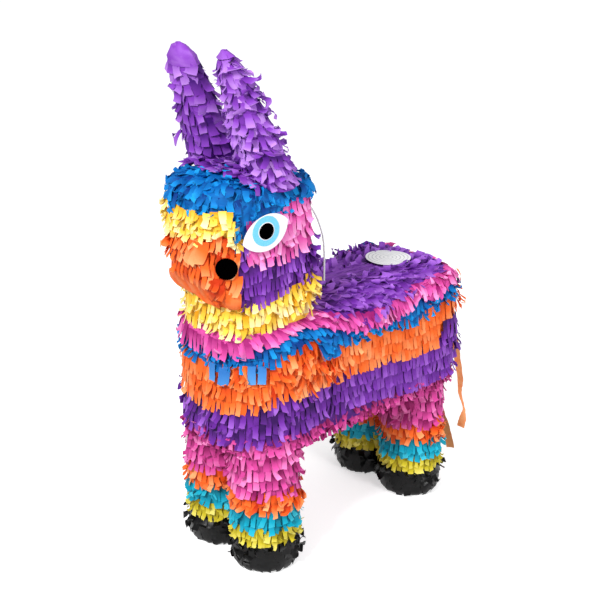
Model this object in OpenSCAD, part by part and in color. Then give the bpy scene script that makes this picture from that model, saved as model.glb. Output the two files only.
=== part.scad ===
// Donkey pinata: a card carcass on four rolled legs, wrapped in bands of cut paper fringe.
// It faces -Y and its left side is +X. The soles of the hooves stand on z = 0. Millimetres.

/* [Body] */
// Length of the body, chest to rump, over the fringe
body_l = 354; // [340:2:370]
// Width of the body over the fringe
body_w = 168; // [164:2:176]
// Height of the underside of the body
belly_z = 161; // [150:1:170]
// Height of the flat flanks, from the belly to where the back starts to curve
flank_h = 101; // [96:1:106]
// Rise of the back above the flanks, before its top is flattened
crown_h = 31; // [30:1:33]
// Height of the flat card along the middle of the back
back_z = 291; // [289:1:292]

/* [Card and paper] */
// Thickness of the corrugated card
card_t = 3; // [2:0.5:4]
// Depth that the paper fringe stands off the card
fringe_t = 7; // [5:0.5:8]
// Gap between a band of fringe and the pieces beside it
gap = 0.3; // [0.2:0.05:0.4]

/* [Head] */
// Width of the neck and head over the fringe
head_w = 132; // [126:2:136]
// Front of the neck
neck_front_y = -172; // [-174:1:-168]
// Back of the neck
neck_rear_y = -58; // [-62:1:-54]
// Front of the muzzle
muzzle_front_y = -190; // [-194:1:-186]
// Top of the head over the fringe
head_top_z = 459; // [456:1:462]
// Height where the top of the head starts to curve
temple_z = 424; // [420:1:430]

/* [Ears] */
// Distance between the middles of the ears at their base
ear_spacing = 82; // [80:1:84]
// Height of the tips of the ears
ear_tip_z = 581; // [560:1:600]
// Distance that the ears lean forward
ear_lean = 46; // [20:1:60]

/* [Legs] */
// Distance between the middles of the legs, side to side
leg_spacing = 78; // [77:1:80]
// Middle of the front legs
front_leg_y = -120; // [-124:1:-116]
// Middle of the rear legs
rear_leg_y = 125; // [116:1:128]
// Radius of the rolled card of a leg
leg_r = 35; // [33:0.5:36]
// Thickness of the rolled card of a leg
leg_card_t = 2.5; // [2:0.5:4]
// Radius of a hoof
hoof_r = 38; // [37.5:0.1:38.3]

/* [Fill hole and hanging cord] */
// Middle of the fill hole, along the back
fill_y = 117; // [105:1:117]
// Radius of the fill hole
fill_r = 26; // [24:0.5:27]
// Radius of the paper label that holds the flap down
label_r = 27.5; // [27.5:0.5:30]
// Diameter of the hanging cord
cord_d = 2.2; // [1.5:0.1:2.6]
// Distance between the two cord holes
cord_hole_spacing = 24; // [24:1:24]

/* [Hidden] */
$fn = 48;
ARC_STEPS = 9; // segments in each rounded corner
CROWN_STEPS = 20; // segments across a crowned top

body_mid_y = 3;
body_front_y = body_mid_y - body_l / 2 + fringe_t;
body_rear_y = body_mid_y + body_l / 2 - fringe_t;
body_half_w = body_w / 2 - fringe_t;
body_front_r = 63;
body_rear_r = 38;
flank_top_z = belly_z + flank_h;
back_curve = 2.5; // superellipse power across the back, flank to flank
rump_curve = 6; // superellipse power along the back, chest to rump

neck_half_w = head_w / 2 - fringe_t;
neck_y0 = neck_front_y + fringe_t;
neck_y1 = neck_rear_y - fringe_t;
neck_front_r = 43;
neck_rear_r = 15;
face_half_w = 53;
face_corner_r = 38;
face_rear_y = -112;
face_y0 = muzzle_front_y + fringe_t;
chin_z = 322;
muzzle_low_z = 354;
muzzle_top_z = 387;
brow_z = 412;
brow_back = 3; // the forehead stands this far behind the muzzle
temple_h = head_top_z - fringe_t - temple_z;
head_curve = 2.5; // superellipse power across the top of the head
face_back_y = neck_y0 - 1; // the face's bands end here and the cheeks begin

// Heights where one colour of fringe gives way to the next
band_z = [belly_z, belly_z + 45, belly_z + 92, belly_z + 107, belly_z + 123];
head_band_z = [belly_z + 126, 322, 361, 410];
leg_band_z = [36, 52, 74, 95];

leg_top_z = belly_z - card_t;
hoof_floor_t = 6;
leg_fringe_r = 43;
LEFT = 1;
RIGHT = -1;

ear_y = -115;
ear_base_z = 460;
// Half width and half depth at the foot and at the tip. The left ear is the slimmer one
ear_base_half = [[31, 28.5], [29, 26]];
ear_tip_half = [[20, 11.5], [15, 11]];
ear_tip_in = 5; // the tips stand this much nearer the middle than the feet
ear_fringe_t = 6;
ear_stem_r = 12;
EAR_SIDES = 20;
EAR_RINGS = 8;

eye_mid = [-136, 400]; // y and z of the middle of an eye
eye_half = [30, 20.5];
eye_tilt = 18;
eye_card_t = 1;
nostril_at = [48.5, -175, 366];
nostril_r = 12.3;

flap_r = fill_r - 1.5;
label_t = 0.5;
label_z = back_z + fringe_t + 0.2;
cord_y = -3;
cord_hole_r = cord_d / 2 + 1.1;
anchor_size = [52, 14, 3];
knot_r = 3.4;
knot_z = back_z - card_t - gap - anchor_size[2] - knot_r;

tail_y0 = 182.1;
tail_y1 = 190;
tail_top_z = 250;
tail_low_z = 62;

// Route of the hanging cord: up out of one hole, over to the nape, and down into the other
cord_rise = [
    [12, -3, 281], [12, -3, 288], [12, -3, 298], [12, -3, 310], [12, -3, 322], [12, -3, 334],
    [12, -4, 346], [12, -6, 357], [12, -10, 368], [12, -15, 379], [12, -22, 390],
    [11, -30, 399], [10, -39, 407], [8, -47, 412], [4, -53, 415]
];
cord_route = concat(
    cord_rise,
    [[0, -55, 416]],
    [for (i = [len(cord_rise) - 1:-1:0]) [-cord_rise[i][0], cord_rise[i][1], cord_rise[i][2]]]
);
CORD_SIDES = 8;

// ---- Outlines ----

function arc(mid, r, from, to) =
    [for (i = [0:ARC_STEPS]) let (a = from + (to - from) * i / ARC_STEPS) mid + r * [cos(a), sin(a)]];

// A rectangle in plan, with one corner radius at the front and another at the rear
function rounded_plan(y0, y1, half_w, front_r, rear_r) = concat(
    arc([half_w - rear_r, y1 - rear_r], rear_r, 0, 90),
    arc([-half_w + rear_r, y1 - rear_r], rear_r, 90, 180),
    arc([-half_w + front_r, y0 + front_r], front_r, 180, 270),
    arc([half_w - front_r, y0 + front_r], front_r, 270, 360)
);

// The upper half of a superellipse, from one side to the other
function crown_arc(mid, half_w, rise, power) = [
    for (i = [0:CROWN_STEPS])
        let (a = 180 * i / CROWN_STEPS, c = cos(a), s = max(sin(a), 0))
            mid + [half_w * sign(c) * pow(abs(c), 2 / power), rise * pow(s, 2 / power)]
];

// ---- Forms that the shells are cut from. grow is the distance outside the card ----

module across(points, y0, y1)
    translate([0, y1, 0]) rotate([90, 0, 0]) linear_extrude(y1 - y0) polygon(points);

module lengthwise(points, half_w)
    translate([-half_w, 0, 0]) rotate([90, 0, 90]) linear_extrude(2 * half_w) polygon(points);

module slab(z0, z1, inset = 0)
    translate([-200, -300, z0 + inset]) cube([400, 600, z1 - z0 - 2 * inset]);

module body_form(grow) {
    y0 = body_front_y - grow;
    y1 = body_rear_y + grow;
    half_w = body_half_w + grow;
    intersection() {
        translate([0, 0, belly_z]) linear_extrude(back_z + grow - belly_z)
            polygon(rounded_plan(y0, y1, half_w, body_front_r + grow, body_rear_r + grow));
        across(concat([[-half_w, 0], [half_w, 0]],
            crown_arc([0, flank_top_z], half_w, crown_h + grow, back_curve)), y0 - 1, y1 + 1);
        lengthwise(concat([[y0, 0], [y1, 0]],
            crown_arc([(y0 + y1) / 2, flank_top_z], (y1 - y0) / 2, crown_h + grow, rump_curve)),
            half_w + 1);
    }
}

module body_skin(z0, z1) difference() {
    intersection() {
        difference() {
            body_form(fringe_t);
            body_form(gap);
        }
        slab(z0, z1, gap / 2);
    }
    neck_column(gap);
}

module neck_plan(grow)
    polygon(rounded_plan(neck_y0 - grow, neck_y1 + grow, neck_half_w + grow,
        neck_front_r + grow, neck_rear_r + grow));

module face_plan(grow)
    polygon(rounded_plan(face_y0 - grow, face_rear_y, face_half_w + grow, face_corner_r + grow, 5));

module neck_column(grow)
    translate([0, 0, flank_top_z]) linear_extrude(head_top_z) neck_plan(grow);

// Side profile of the head: upright neck, sloping underside of the muzzle, upright face
module head_limits(grow) intersection() {
    lengthwise(concat(
        [[neck_y1 + grow, flank_top_z], [neck_y0 - grow, flank_top_z], [neck_y0 - grow, chin_z],
            [face_y0 - grow, muzzle_low_z], [face_y0 - grow, muzzle_top_z],
            [face_y0 + brow_back - grow, brow_z]],
        crown_arc([(face_y0 + brow_back + neck_y1) / 2, temple_z],
            (face_y0 + brow_back - neck_y1) / 2 - grow, temple_h + grow, head_curve)), 100);
    across(concat([[-neck_half_w - grow, 0], [neck_half_w + grow, 0]],
        crown_arc([0, temple_z], neck_half_w + grow, temple_h + grow, head_curve)), -250, 0);
}

module neck_form(grow) intersection() {
    neck_column(grow);
    head_limits(grow);
}

module face_form(grow) intersection() {
    translate([0, 0, chin_z]) linear_extrude(head_top_z) face_plan(grow);
    head_limits(grow);
}

module head_form(grow) {
    neck_form(grow);
    face_form(grow);
}

module head_skin(z0, z1) intersection() {
    difference() {
        head_form(fringe_t);
        head_form(gap);
    }
    slab(z0, z1, gap / 2);
}

// The part of the head's skin that is the face, and the part that isn't
module face_block() translate([-100, -250, chin_z]) cube([200, face_back_y + 250, 300]);

module face_skin(z0, z1) intersection() {
    head_skin(z0, z1);
    face_block();
}

module cheek_skin(z0, z1) difference() {
    head_skin(z0, z1);
    translate([0, gap, -gap]) face_block();
}

// ---- Card carcass ----

module body_wall() color("#b58a5a") intersection() {
    difference() {
        body_form(0);
        translate([0, 0, -1]) body_form(-card_t);
    }
    slab(belly_z, flank_top_z);
}

module back_panel() color("#b58a5a") difference() {
    intersection() {
        body_form(0);
        slab(flank_top_z, back_z + 1);
    }
    body_form(-card_t);
    translate([0, fill_y, flank_top_z]) cylinder(r = fill_r, h = 60);
    for (side = [LEFT, RIGHT])
        translate([side * cord_hole_spacing / 2, cord_y, flank_top_z])
            cylinder(r = cord_hole_r, h = 60);
}

module belly_panel() color("#b58a5a")
    translate([0, 0, belly_z - card_t]) linear_extrude(card_t)
        polygon(rounded_plan(body_front_y, body_rear_y, body_half_w, body_front_r, body_rear_r));

module neck_wall() color("#b58a5a") difference() {
    intersection() {
        neck_form(0);
        slab(flank_top_z, temple_z);
    }
    neck_form(-card_t);
    body_form(0);
}

module crown_panel() color("#b58a5a") difference() {
    intersection() {
        neck_form(0);
        slab(temple_z, head_top_z);
    }
    neck_form(-card_t);
}

module muzzle_shell() color("#b58a5a") difference() {
    face_form(0);
    face_form(-card_t);
    neck_column(gap);
    translate([-100, face_back_y, 0]) cube([200, 200, 600]);
}

// ---- Legs ----

module at_leg(side, y) translate([side * leg_spacing / 2, y, 0]) children();

module leg_tube(side, y) color("#b58a5a") at_leg(side, y) difference() {
    translate([0, 0, hoof_floor_t]) cylinder(r = leg_r, h = leg_top_z - hoof_floor_t);
    translate([0, 0, hoof_floor_t - 1]) cylinder(r = leg_r - leg_card_t, h = leg_top_z);
}

module hoof(side, y) color("#141414") at_leg(side, y) rotate_extrude()
    polygon([[0, 0], [hoof_r - 8, 0], [hoof_r - 3, 3], [hoof_r, 12], [hoof_r, leg_band_z[0] - gap],
        [leg_r + gap, leg_band_z[0] - gap], [leg_r + gap, hoof_floor_t], [0, hoof_floor_t]]);

// A ring of fringe round one leg, cut flat where it meets the other leg's
module leg_cuff(side, y, z0, z1, paint) color(paint) difference() {
    at_leg(side, y) translate([0, 0, z0]) difference() {
        cylinder(r = leg_fringe_r, h = z1 - z0 - gap);
        translate([0, 0, -1]) cylinder(r = leg_r + gap, h = z1 - z0 + 2);
    }
    translate([side > 0 ? gap / 2 - 100 : -gap / 2, y - 50, 0]) cube([100, 100, 200]);
}

module leg_pink(side, y) leg_cuff(side, y, leg_band_z[3], leg_top_z, "#e85fb0");

module leg_orange(side, y) leg_cuff(side, y, leg_band_z[2], leg_band_z[3], "#ff7a33");

module leg_turquoise(side, y) leg_cuff(side, y, leg_band_z[1], leg_band_z[2], "#12b4d4");

module leg_yellow(side, y) leg_cuff(side, y, leg_band_z[0], leg_band_z[1], "#e6d235");

// ---- Fringe on the body ----

module saddle_fringe() color("#6f36a8") difference() {
    body_skin(band_z[4], back_z + 20);
    translate([0, fill_y, flank_top_z]) cylinder(r = fill_r, h = 60);
    for (side = [LEFT, RIGHT])
        translate([side * cord_hole_spacing / 2, cord_y, flank_top_z])
            cylinder(r = cord_hole_r, h = 60);
}

module pink_band() color("#e85fb0") body_skin(band_z[3], band_z[4]);

module blue_band() color("#1180d0") body_skin(band_z[2], band_z[3]);

module orange_band() color("#ff7a33") body_skin(band_z[1], band_z[2]);

module purple_band() color("#7a3db8") body_skin(band_z[0], band_z[1]);

// ---- Fringe on the head ----

module collar_yellow() color("#ffd93b") difference() {
    cheek_skin(head_band_z[0], head_band_z[1]);
    body_form(fringe_t + gap);
}

module cheek_purple() color("#7a3db8") cheek_skin(head_band_z[1], head_band_z[2]);

module cheek_pink() color("#f07abf") cheek_skin(head_band_z[2], head_band_z[3]);

module crown_blue() color("#1180d0") difference() {
    head_skin(head_band_z[3], head_top_z + 20);
    for (side = [LEFT, RIGHT]) ear_at(side) cylinder(r = ear_stem_r + gap, h = 60);
}

module nose_yellow() color("#ffd93b") face_skin(muzzle_top_z - 2, head_band_z[3]);

module muzzle_orange() color("#ff7a33") face_skin(chin_z, muzzle_top_z - 2);

// ---- Ears ----

module ear_at(side) translate([side * ear_spacing / 2, ear_y, temple_z]) children();

// Share of the full width left at t, a fraction of the way up: 1, and then round to the tip
function ear_taper(t) = let (u = max(0, (t - 0.84) / 0.16)) sqrt(max(0.02, 1 - u * u));

function ear_ring(side, t, grow) =
    let (
        which = side == LEFT ? 1 : 0,
        foot = ear_base_half[which],
        tip = ear_tip_half[which],
        top = ear_tip_z + grow,
        z = ear_base_z + (top - ear_base_z) * t,
        mid = [side * (ear_spacing / 2 - ear_tip_in * t), ear_y - ear_lean * t, z],
        half = (foot + (tip - foot) * pow(t, 1.4) + grow * [1, 1]) * ear_taper(t)
    )
    [for (k = [0:EAR_SIDES - 1]) let (a = 360 * k / EAR_SIDES)
        mid + [half[0] * cos(a), half[1] * sin(a), 0]];

function ear_loft(side, grow) =
    [for (i = [0:EAR_RINGS]) ear_ring(side, 1 - pow(1 - i / EAR_RINGS, 1.3), grow)];

function stem_ring(side, z) =
    [for (k = [0:EAR_SIDES - 1]) let (a = 360 * k / EAR_SIDES)
        [side * ear_spacing / 2 + ear_stem_r * cos(a), ear_y + ear_stem_r * sin(a), z]];

// A solid through rings of equal length, closed at both ends
module loft(rings) {
    n = len(rings[0]);
    last = (len(rings) - 1) * n;
    polyhedron([for (ring = rings) each ring], concat(
        [[for (k = [0:n - 1]) k]],
        [for (i = [0:len(rings) - 2], k = [0:n - 1])
            [i * n + k, (i + 1) * n + k, (i + 1) * n + (k + 1) % n, i * n + (k + 1) % n]],
        [[for (k = [n - 1:-1:0]) last + k]]
    ));
}

module ear_core(side) color("#8e44c8") difference() {
    loft(concat([stem_ring(side, temple_z), stem_ring(side, ear_base_z - 1)],
        ear_loft(side, -ear_fringe_t)));
    neck_form(gap);
}

// A sleeve over the core, open at the foot and closed over the tip
module ear_fringe(side) color("#8e44c8") {
    outer = ear_loft(side, 0);
    inner = ear_loft(side, gap - ear_fringe_t);
    rings = concat([for (i = [EAR_RINGS:-1:0]) inner[i]], outer);
    loft(rings);
}

// ---- Face trim ----

// A thin sheet that lies on the head's fringe
module over_face(thickness) difference() {
    head_form(fringe_t + gap + thickness);
    head_form(fringe_t + gap);
}

// An almond: two arcs that meet at the corners of the eye
module eye_outline() {
    r = (pow(eye_half[0], 2) + pow(eye_half[1], 2)) / (2 * eye_half[1]);
    intersection() {
        translate([0, eye_half[1] - r]) circle(r);
        translate([0, r - eye_half[1]]) circle(r);
    }
}

module eye_card(side) color("#eeebf0") intersection() {
    over_face(eye_card_t);
    translate([side > 0 ? 20 : -120, eye_mid[0], eye_mid[1]]) rotate([90, 0, 90])
        linear_extrude(100) rotate(eye_tilt) eye_outline();
}

module nostril(side) color("#0c0a0a") intersection() {
    over_face(eye_card_t);
    translate([side * nostril_at[0], nostril_at[1], nostril_at[2]])
        rotate([0, 0, side > 0 ? -45 : -135]) rotate([0, 90, 0])
            translate([0, 0, -30]) cylinder(r = nostril_r, h = 60);
}

// ---- Hanging cord ----

function along(points, i) =
    let (a = points[max(i - 1, 0)], b = points[min(i + 1, len(points) - 1)]) (b - a) / norm(b - a);

module hang_cord() color("white") loft([
    for (i = [0:len(cord_route) - 1])
        let (t = along(cord_route, i), u = cross(t, [0, 1, 0.01]) / norm(cross(t, [0, 1, 0.01])),
            v = cross(t, u))
            [for (k = [CORD_SIDES:-1:1]) let (a = 360 * k / CORD_SIDES)
                cord_route[i] + cord_d / 2 * (u * cos(a) + v * sin(a))]
]);

module anchor_bar() color("#d8b98a") difference() {
    translate([-anchor_size[0] / 2, cord_y - anchor_size[1] / 2,
        back_z - card_t - gap - anchor_size[2]]) cube(anchor_size);
    for (side = [LEFT, RIGHT])
        translate([side * cord_hole_spacing / 2, cord_y, flank_top_z])
            cylinder(r = cord_d / 2 + 0.4, h = 60);
}

module cord_knots() color("white") for (side = [LEFT, RIGHT])
    translate([side * cord_hole_spacing / 2, cord_y, knot_z]) sphere(knot_r);

// ---- Fill flap: a disc of card and its fringe, held down by a paper label ----

module fill_flap() color("#b58a5a") translate([0, fill_y, back_z - card_t])
    cylinder(r = flap_r, h = card_t);

module flap_fringe() color("#6f36a8") translate([0, fill_y, back_z])
    cylinder(r = flap_r, h = label_z - back_z);

module flap_label() color("#eef0f2") translate([0, fill_y, label_z])
    cylinder(r = label_r, h = label_t);

// ---- Tail ----

module tail_tab() color("#ff7a33") translate([-13, body_rear_y + fringe_t + gap, 226])
    cube([26, tail_y0 - body_rear_y - fringe_t - 2 * gap, 30]);

// A bunch of streamers, narrow where it is glued and fanned out below
module tail_streamers() color("#ff7a33")
    across([[-13, tail_top_z], [-26, 200], [-58, 110], [-56, tail_low_z], [56, tail_low_z],
        [58, 110], [26, 200], [13, tail_top_z]], tail_y0, tail_y1);

body_wall();
back_panel();
belly_panel();
neck_wall();
crown_panel();
muzzle_shell();
leg_tube(LEFT, front_leg_y);  // leg_tube_front_left
leg_tube(RIGHT, front_leg_y);  // leg_tube_front_right
leg_tube(LEFT, rear_leg_y);  // leg_tube_rear_left
leg_tube(RIGHT, rear_leg_y);  // leg_tube_rear_right
hoof(LEFT, front_leg_y);  // hoof_front_left
hoof(RIGHT, front_leg_y);  // hoof_front_right
hoof(LEFT, rear_leg_y);  // hoof_rear_left
hoof(RIGHT, rear_leg_y);  // hoof_rear_right
saddle_fringe();
pink_band();
blue_band();
orange_band();
purple_band();
leg_pink(LEFT, front_leg_y);  // leg_pink_front_left
leg_pink(RIGHT, front_leg_y);  // leg_pink_front_right
leg_pink(LEFT, rear_leg_y);  // leg_pink_rear_left
leg_pink(RIGHT, rear_leg_y);  // leg_pink_rear_right
leg_orange(LEFT, front_leg_y);  // leg_orange_front_left
leg_orange(RIGHT, front_leg_y);  // leg_orange_front_right
leg_orange(LEFT, rear_leg_y);  // leg_orange_rear_left
leg_orange(RIGHT, rear_leg_y);  // leg_orange_rear_right
leg_turquoise(LEFT, front_leg_y);  // leg_turquoise_front_left
leg_turquoise(RIGHT, front_leg_y);  // leg_turquoise_front_right
leg_turquoise(LEFT, rear_leg_y);  // leg_turquoise_rear_left
leg_turquoise(RIGHT, rear_leg_y);  // leg_turquoise_rear_right
leg_yellow(LEFT, front_leg_y);  // leg_yellow_front_left
leg_yellow(RIGHT, front_leg_y);  // leg_yellow_front_right
leg_yellow(LEFT, rear_leg_y);  // leg_yellow_rear_left
leg_yellow(RIGHT, rear_leg_y);  // leg_yellow_rear_right
collar_yellow();
cheek_purple();
cheek_pink();
crown_blue();
nose_yellow();
muzzle_orange();
ear_core(LEFT);  // ear_core_left
ear_core(RIGHT);  // ear_core_right
ear_fringe(LEFT);  // ear_fringe_left
ear_fringe(RIGHT);  // ear_fringe_right
eye_card(LEFT);  // eye_card_left
eye_card(RIGHT);  // eye_card_right
nostril(LEFT);  // nostril_left
nostril(RIGHT);  // nostril_right
hang_cord();
anchor_bar();
cord_knots();
fill_flap();
flap_fringe();
flap_label();
tail_tab();
tail_streamers();
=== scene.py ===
import math
from dataclasses import dataclass, replace

import bpy
import numpy as np
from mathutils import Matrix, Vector


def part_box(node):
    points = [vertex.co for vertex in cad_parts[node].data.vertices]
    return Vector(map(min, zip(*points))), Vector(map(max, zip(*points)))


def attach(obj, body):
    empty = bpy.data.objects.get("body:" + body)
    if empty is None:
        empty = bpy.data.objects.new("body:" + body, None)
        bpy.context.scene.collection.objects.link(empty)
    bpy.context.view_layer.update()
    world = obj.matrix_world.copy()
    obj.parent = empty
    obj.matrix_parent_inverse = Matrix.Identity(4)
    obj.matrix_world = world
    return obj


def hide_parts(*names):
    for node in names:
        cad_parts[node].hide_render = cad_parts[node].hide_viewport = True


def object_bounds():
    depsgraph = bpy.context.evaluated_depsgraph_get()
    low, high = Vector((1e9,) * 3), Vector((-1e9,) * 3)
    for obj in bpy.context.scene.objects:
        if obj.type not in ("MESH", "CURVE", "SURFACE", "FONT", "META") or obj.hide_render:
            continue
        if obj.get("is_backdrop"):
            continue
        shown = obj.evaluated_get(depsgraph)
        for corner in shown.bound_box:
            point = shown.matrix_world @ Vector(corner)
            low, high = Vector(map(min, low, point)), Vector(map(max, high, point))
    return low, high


# A donkey pinata: fringed tissue paper in bands over a card carcass. The donkey faces -Y and its left
# side is +X. Lengths are in millimetres, and become metres where a mesh is made.

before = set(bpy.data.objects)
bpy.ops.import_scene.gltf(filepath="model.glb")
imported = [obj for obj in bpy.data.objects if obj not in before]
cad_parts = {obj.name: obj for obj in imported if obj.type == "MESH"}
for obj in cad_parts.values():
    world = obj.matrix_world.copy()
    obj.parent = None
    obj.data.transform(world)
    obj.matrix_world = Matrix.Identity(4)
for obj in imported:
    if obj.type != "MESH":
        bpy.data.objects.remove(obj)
cad_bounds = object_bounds()

MM = 0.001
TURN = 2 * math.pi
LEFT, RIGHT = 1, -1
SIDES = {"left": LEFT, "right": RIGHT}
CARCASS, FLAP, TAIL = "carcass", "flap", "tail"


def box(*nodes):
    """Lowest and highest corner of some CAD nodes together, in millimetres."""
    corners = [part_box(node) for node in nodes]
    low = np.min([np.array(lo) for lo, _ in corners], axis=0)
    high = np.max([np.array(hi) for _, hi in corners], axis=0)
    return low / MM, high / MM


def spot(node, axis=0):
    """Middle of a CAD node, and half its size along an axis."""
    low, high = box(node)
    return (low + high) / 2, (high[axis] - low[axis]) / 2


def in_scene(name, data):
    thing = bpy.data.objects.new(name, data)
    bpy.context.scene.collection.objects.link(thing)
    return thing


def aim(thing, place, target):
    """Puts a camera or a light at a place, in metres, and turns it to a target."""
    thing.location = place
    thing.rotation_euler = (Vector(target) - Vector(place)).to_track_quat("-Z", "Y").to_euler()


# ---- Camera ----

CAMERA_AT = (0.8832, -0.8529, 0.7399)
CAMERA_TARGET = (0.0352, -0.0622, 0.2995)
CAMERA_LENS = 68.1

camera = in_scene("camera", bpy.data.cameras.new("camera"))
camera.data.lens = CAMERA_LENS
aim(camera, CAMERA_AT, CAMERA_TARGET)
bpy.context.scene.camera = camera


# ---- Materials ----

def rgb(code):
    """Linear colour of a hex code."""
    parts = [int(code[i:i + 2], 16) / 255 for i in (1, 3, 5)]
    return tuple(c / 12.92 if c <= 0.04045 else ((c + 0.055) / 1.055) ** 2.4 for c in parts) + (1.0,)


class Nodes:
    """A new material's node tree, with its Principled shader."""

    def __init__(self, name, roughness, specular=0.5):
        self.material = bpy.data.materials.new(name)
        self.material.use_nodes = True
        self.tree = self.material.node_tree
        self.shader = self.tree.nodes["Principled BSDF"]
        self.shader.inputs["Roughness"].default_value = roughness
        self.shader.inputs["Specular IOR Level"].default_value = specular

    def add(self, kind, *inputs, **settings):
        """A new node. Its inputs are sockets to link from, or plain values."""
        node = self.tree.nodes.new(kind)
        for key, value in settings.items():
            setattr(node, key, value)
        for socket, value in zip(node.inputs, inputs):
            if isinstance(value, bpy.types.NodeSocket):
                self.tree.links.new(value, socket)
            else:
                socket.default_value = value
        return node

    def math(self, operation, *inputs, **settings):
        return self.add("ShaderNodeMath", *inputs, operation=operation, **settings).outputs[0]

    def object_place(self):
        return self.add("ShaderNodeTexCoord").outputs["Object"]

    def noise(self, scale, detail=3.0, stretch=(1, 1, 1)):
        """Noise over the object, stretched along its axes."""
        mapping = self.add("ShaderNodeMapping", self.object_place())
        mapping.inputs["Scale"].default_value = stretch
        noise = self.add("ShaderNodeTexNoise", mapping.outputs["Vector"])
        noise.inputs["Scale"].default_value = scale
        noise.inputs["Detail"].default_value = detail
        return noise.outputs["Fac"]

    def sum(self, first, second, share):
        """first plus a share of second's swing about one half."""
        return self.math("ADD", first, self.math("MULTIPLY_ADD", second, share, -share / 2),
                         use_clamp=True)

    def colour(self, source, *stops):
        """Base colour by a ramp of (place, hex code) stops."""
        ramp = self.add("ShaderNodeValToRGB", source)
        while len(ramp.color_ramp.elements) < len(stops):
            ramp.color_ramp.elements.new(0.5)
        for element, (place, code) in zip(ramp.color_ramp.elements, stops):
            element.position = place
            element.color = rgb(code)
        self.tree.links.new(ramp.outputs["Color"], self.shader.inputs["Base Color"])

    def bump(self, height, strength, distance):
        bump = self.add("ShaderNodeBump")
        bump.inputs["Strength"].default_value = strength
        bump.inputs["Distance"].default_value = distance
        self.tree.links.new(height, bump.inputs["Height"])
        self.tree.links.new(bump.outputs["Normal"], self.shader.inputs["Normal"])


def paper_material(name, deep, middle, light, roughness=0.65):
    """Tissue paper: its tone comes from each piece of paper, darkened by painted shade at the tabs' roots
    and in the gaps between them and lightened by painted light at their ends, with soft mottling and fine
    creases.
    """
    nodes = Nodes(name, roughness, specular=0.18)
    tone = nodes.add("ShaderNodeAttribute", attribute_name="tone").outputs["Fac"]
    mottled = nodes.sum(tone, nodes.noise(scale=55.0, detail=4.0), share=0.35)
    nodes.colour(mottled, (0.0, deep), (0.5, middle), (1.0, light))
    creases = nodes.noise(scale=420.0, detail=5.0, stretch=(1.0, 1.0, 0.45))
    nodes.bump(creases, strength=0.35, distance=0.0006)
    return nodes.material


def card_material():
    """Brown corrugated card, with the flutes showing faintly."""
    nodes = Nodes("card", roughness=0.85)
    fibres = nodes.noise(scale=160.0, detail=6.0, stretch=(1.0, 1.0, 0.2))
    nodes.colour(fibres, (0.2, "#8f6a42"), (0.5, "#b58a5a"), (0.85, "#c9a273"))
    nodes.bump(fibres, strength=0.3, distance=0.0004)
    return nodes.material


def printed_material(name, low, high, roughness, gloss=0.5):
    """Ink or coated paper of one colour, a little uneven."""
    nodes = Nodes(name, roughness, gloss)
    grain = nodes.noise(scale=700.0)
    nodes.colour(grain, (0.3, low), (0.7, high))
    nodes.bump(grain, strength=0.12, distance=0.0002)
    return nodes.material


LABEL_MID, LABEL_R = spot("flap_label")
LABEL_STAND = 0.5  # how far the paper label stands over its CAD disc
LABEL_TOP = box("flap_label")[1][2] + LABEL_STAND
LABEL_RING_PITCH = 4.6


def label_material():
    """A white paper disc with pale rings of broken print round its middle."""
    nodes = Nodes("label_paper", roughness=0.5)
    middle = tuple(np.array([0, LABEL_MID[1], LABEL_TOP]) * MM)
    away = nodes.add("ShaderNodeVectorMath", nodes.object_place(), middle, operation="SUBTRACT")
    distance = nodes.add("ShaderNodeVectorMath", away.outputs[0], operation="LENGTH").outputs["Value"]
    rings = nodes.math("SINE", nodes.math("MULTIPLY", distance, TURN / (LABEL_RING_PITCH * MM)))
    broken = nodes.math("MULTIPLY", rings, nodes.noise(scale=900.0, detail=2.0))
    nodes.colour(broken, (0.0, "#fbfbfc"), (0.3, "#f2f3f5"), (0.5, "#c3c6ca"))
    nodes.bump(nodes.noise(scale=140.0), strength=0.2, distance=0.0005)
    return nodes.material


# Material slot, and the deep, middle and light tones of each tissue. The black one is glossier
TISSUES = {
    "purple": ("paper_purple", "#300650", "#6f2aa0", "#aa6ad8"),
    "violet": ("paper_purple", "#420c70", "#8139b4", "#ba84de"),
    "pink": ("paper_pink", "#9a1a6c", "#e455ac", "#fba4da"),
    "rose": ("paper_pink", "#860f55", "#d8489c", "#f88cca"),
    "blue": ("paper_blue", "#003884", "#0070bd", "#159ce6"),
    "pale_blue": ("paper_blue", "#2f74c0", "#4a8fd4", "#74aee4"),
    "orange": ("paper_orange", "#c23000", "#f96a22", "#ffae74"),
    "yellow": ("paper_yellow", "#de9a0c", "#f9d149", "#fff2b4"),
    "lemon": ("paper_yellow", "#8a7606", "#d2c028", "#f2e678"),
    "turquoise": ("paper_turquoise", "#016478", "#02a6c4", "#48d4ea"),
    "black": ("paper_black", "#000000", "#030303", "#141416", 0.35),
}
# Material slot, low and high tone, roughness and gloss of each print and coat
PRINTS = {
    "eye_white": ("eye_print", "#e9e6ec", "#f5f2f7", 0.4),
    "eye_blue": ("eye_print", "#5fbfe6", "#78d0f2", 0.35),
    "eye_black": ("eye_print", "#000000", "#020102", 0.9, 0.0),
    "white_cord": ("white_cord", "#e4e6ea", "#f8f9fb", 0.55),
    "anchor_wood": ("anchor_wood", "#c9a577", "#e0c296", 0.7),
}
materials = {name: paper_material(f"paper_{name}", *tones) for name, (_, *tones) in TISSUES.items()}
materials |= {name: printed_material(name, *look) for name, (_, *look) in PRINTS.items()}
materials |= {"card": card_material(), "label_paper": label_material()}


# ---- Hanging cord ----

CORD_DIAMETER = 0.0022
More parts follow.
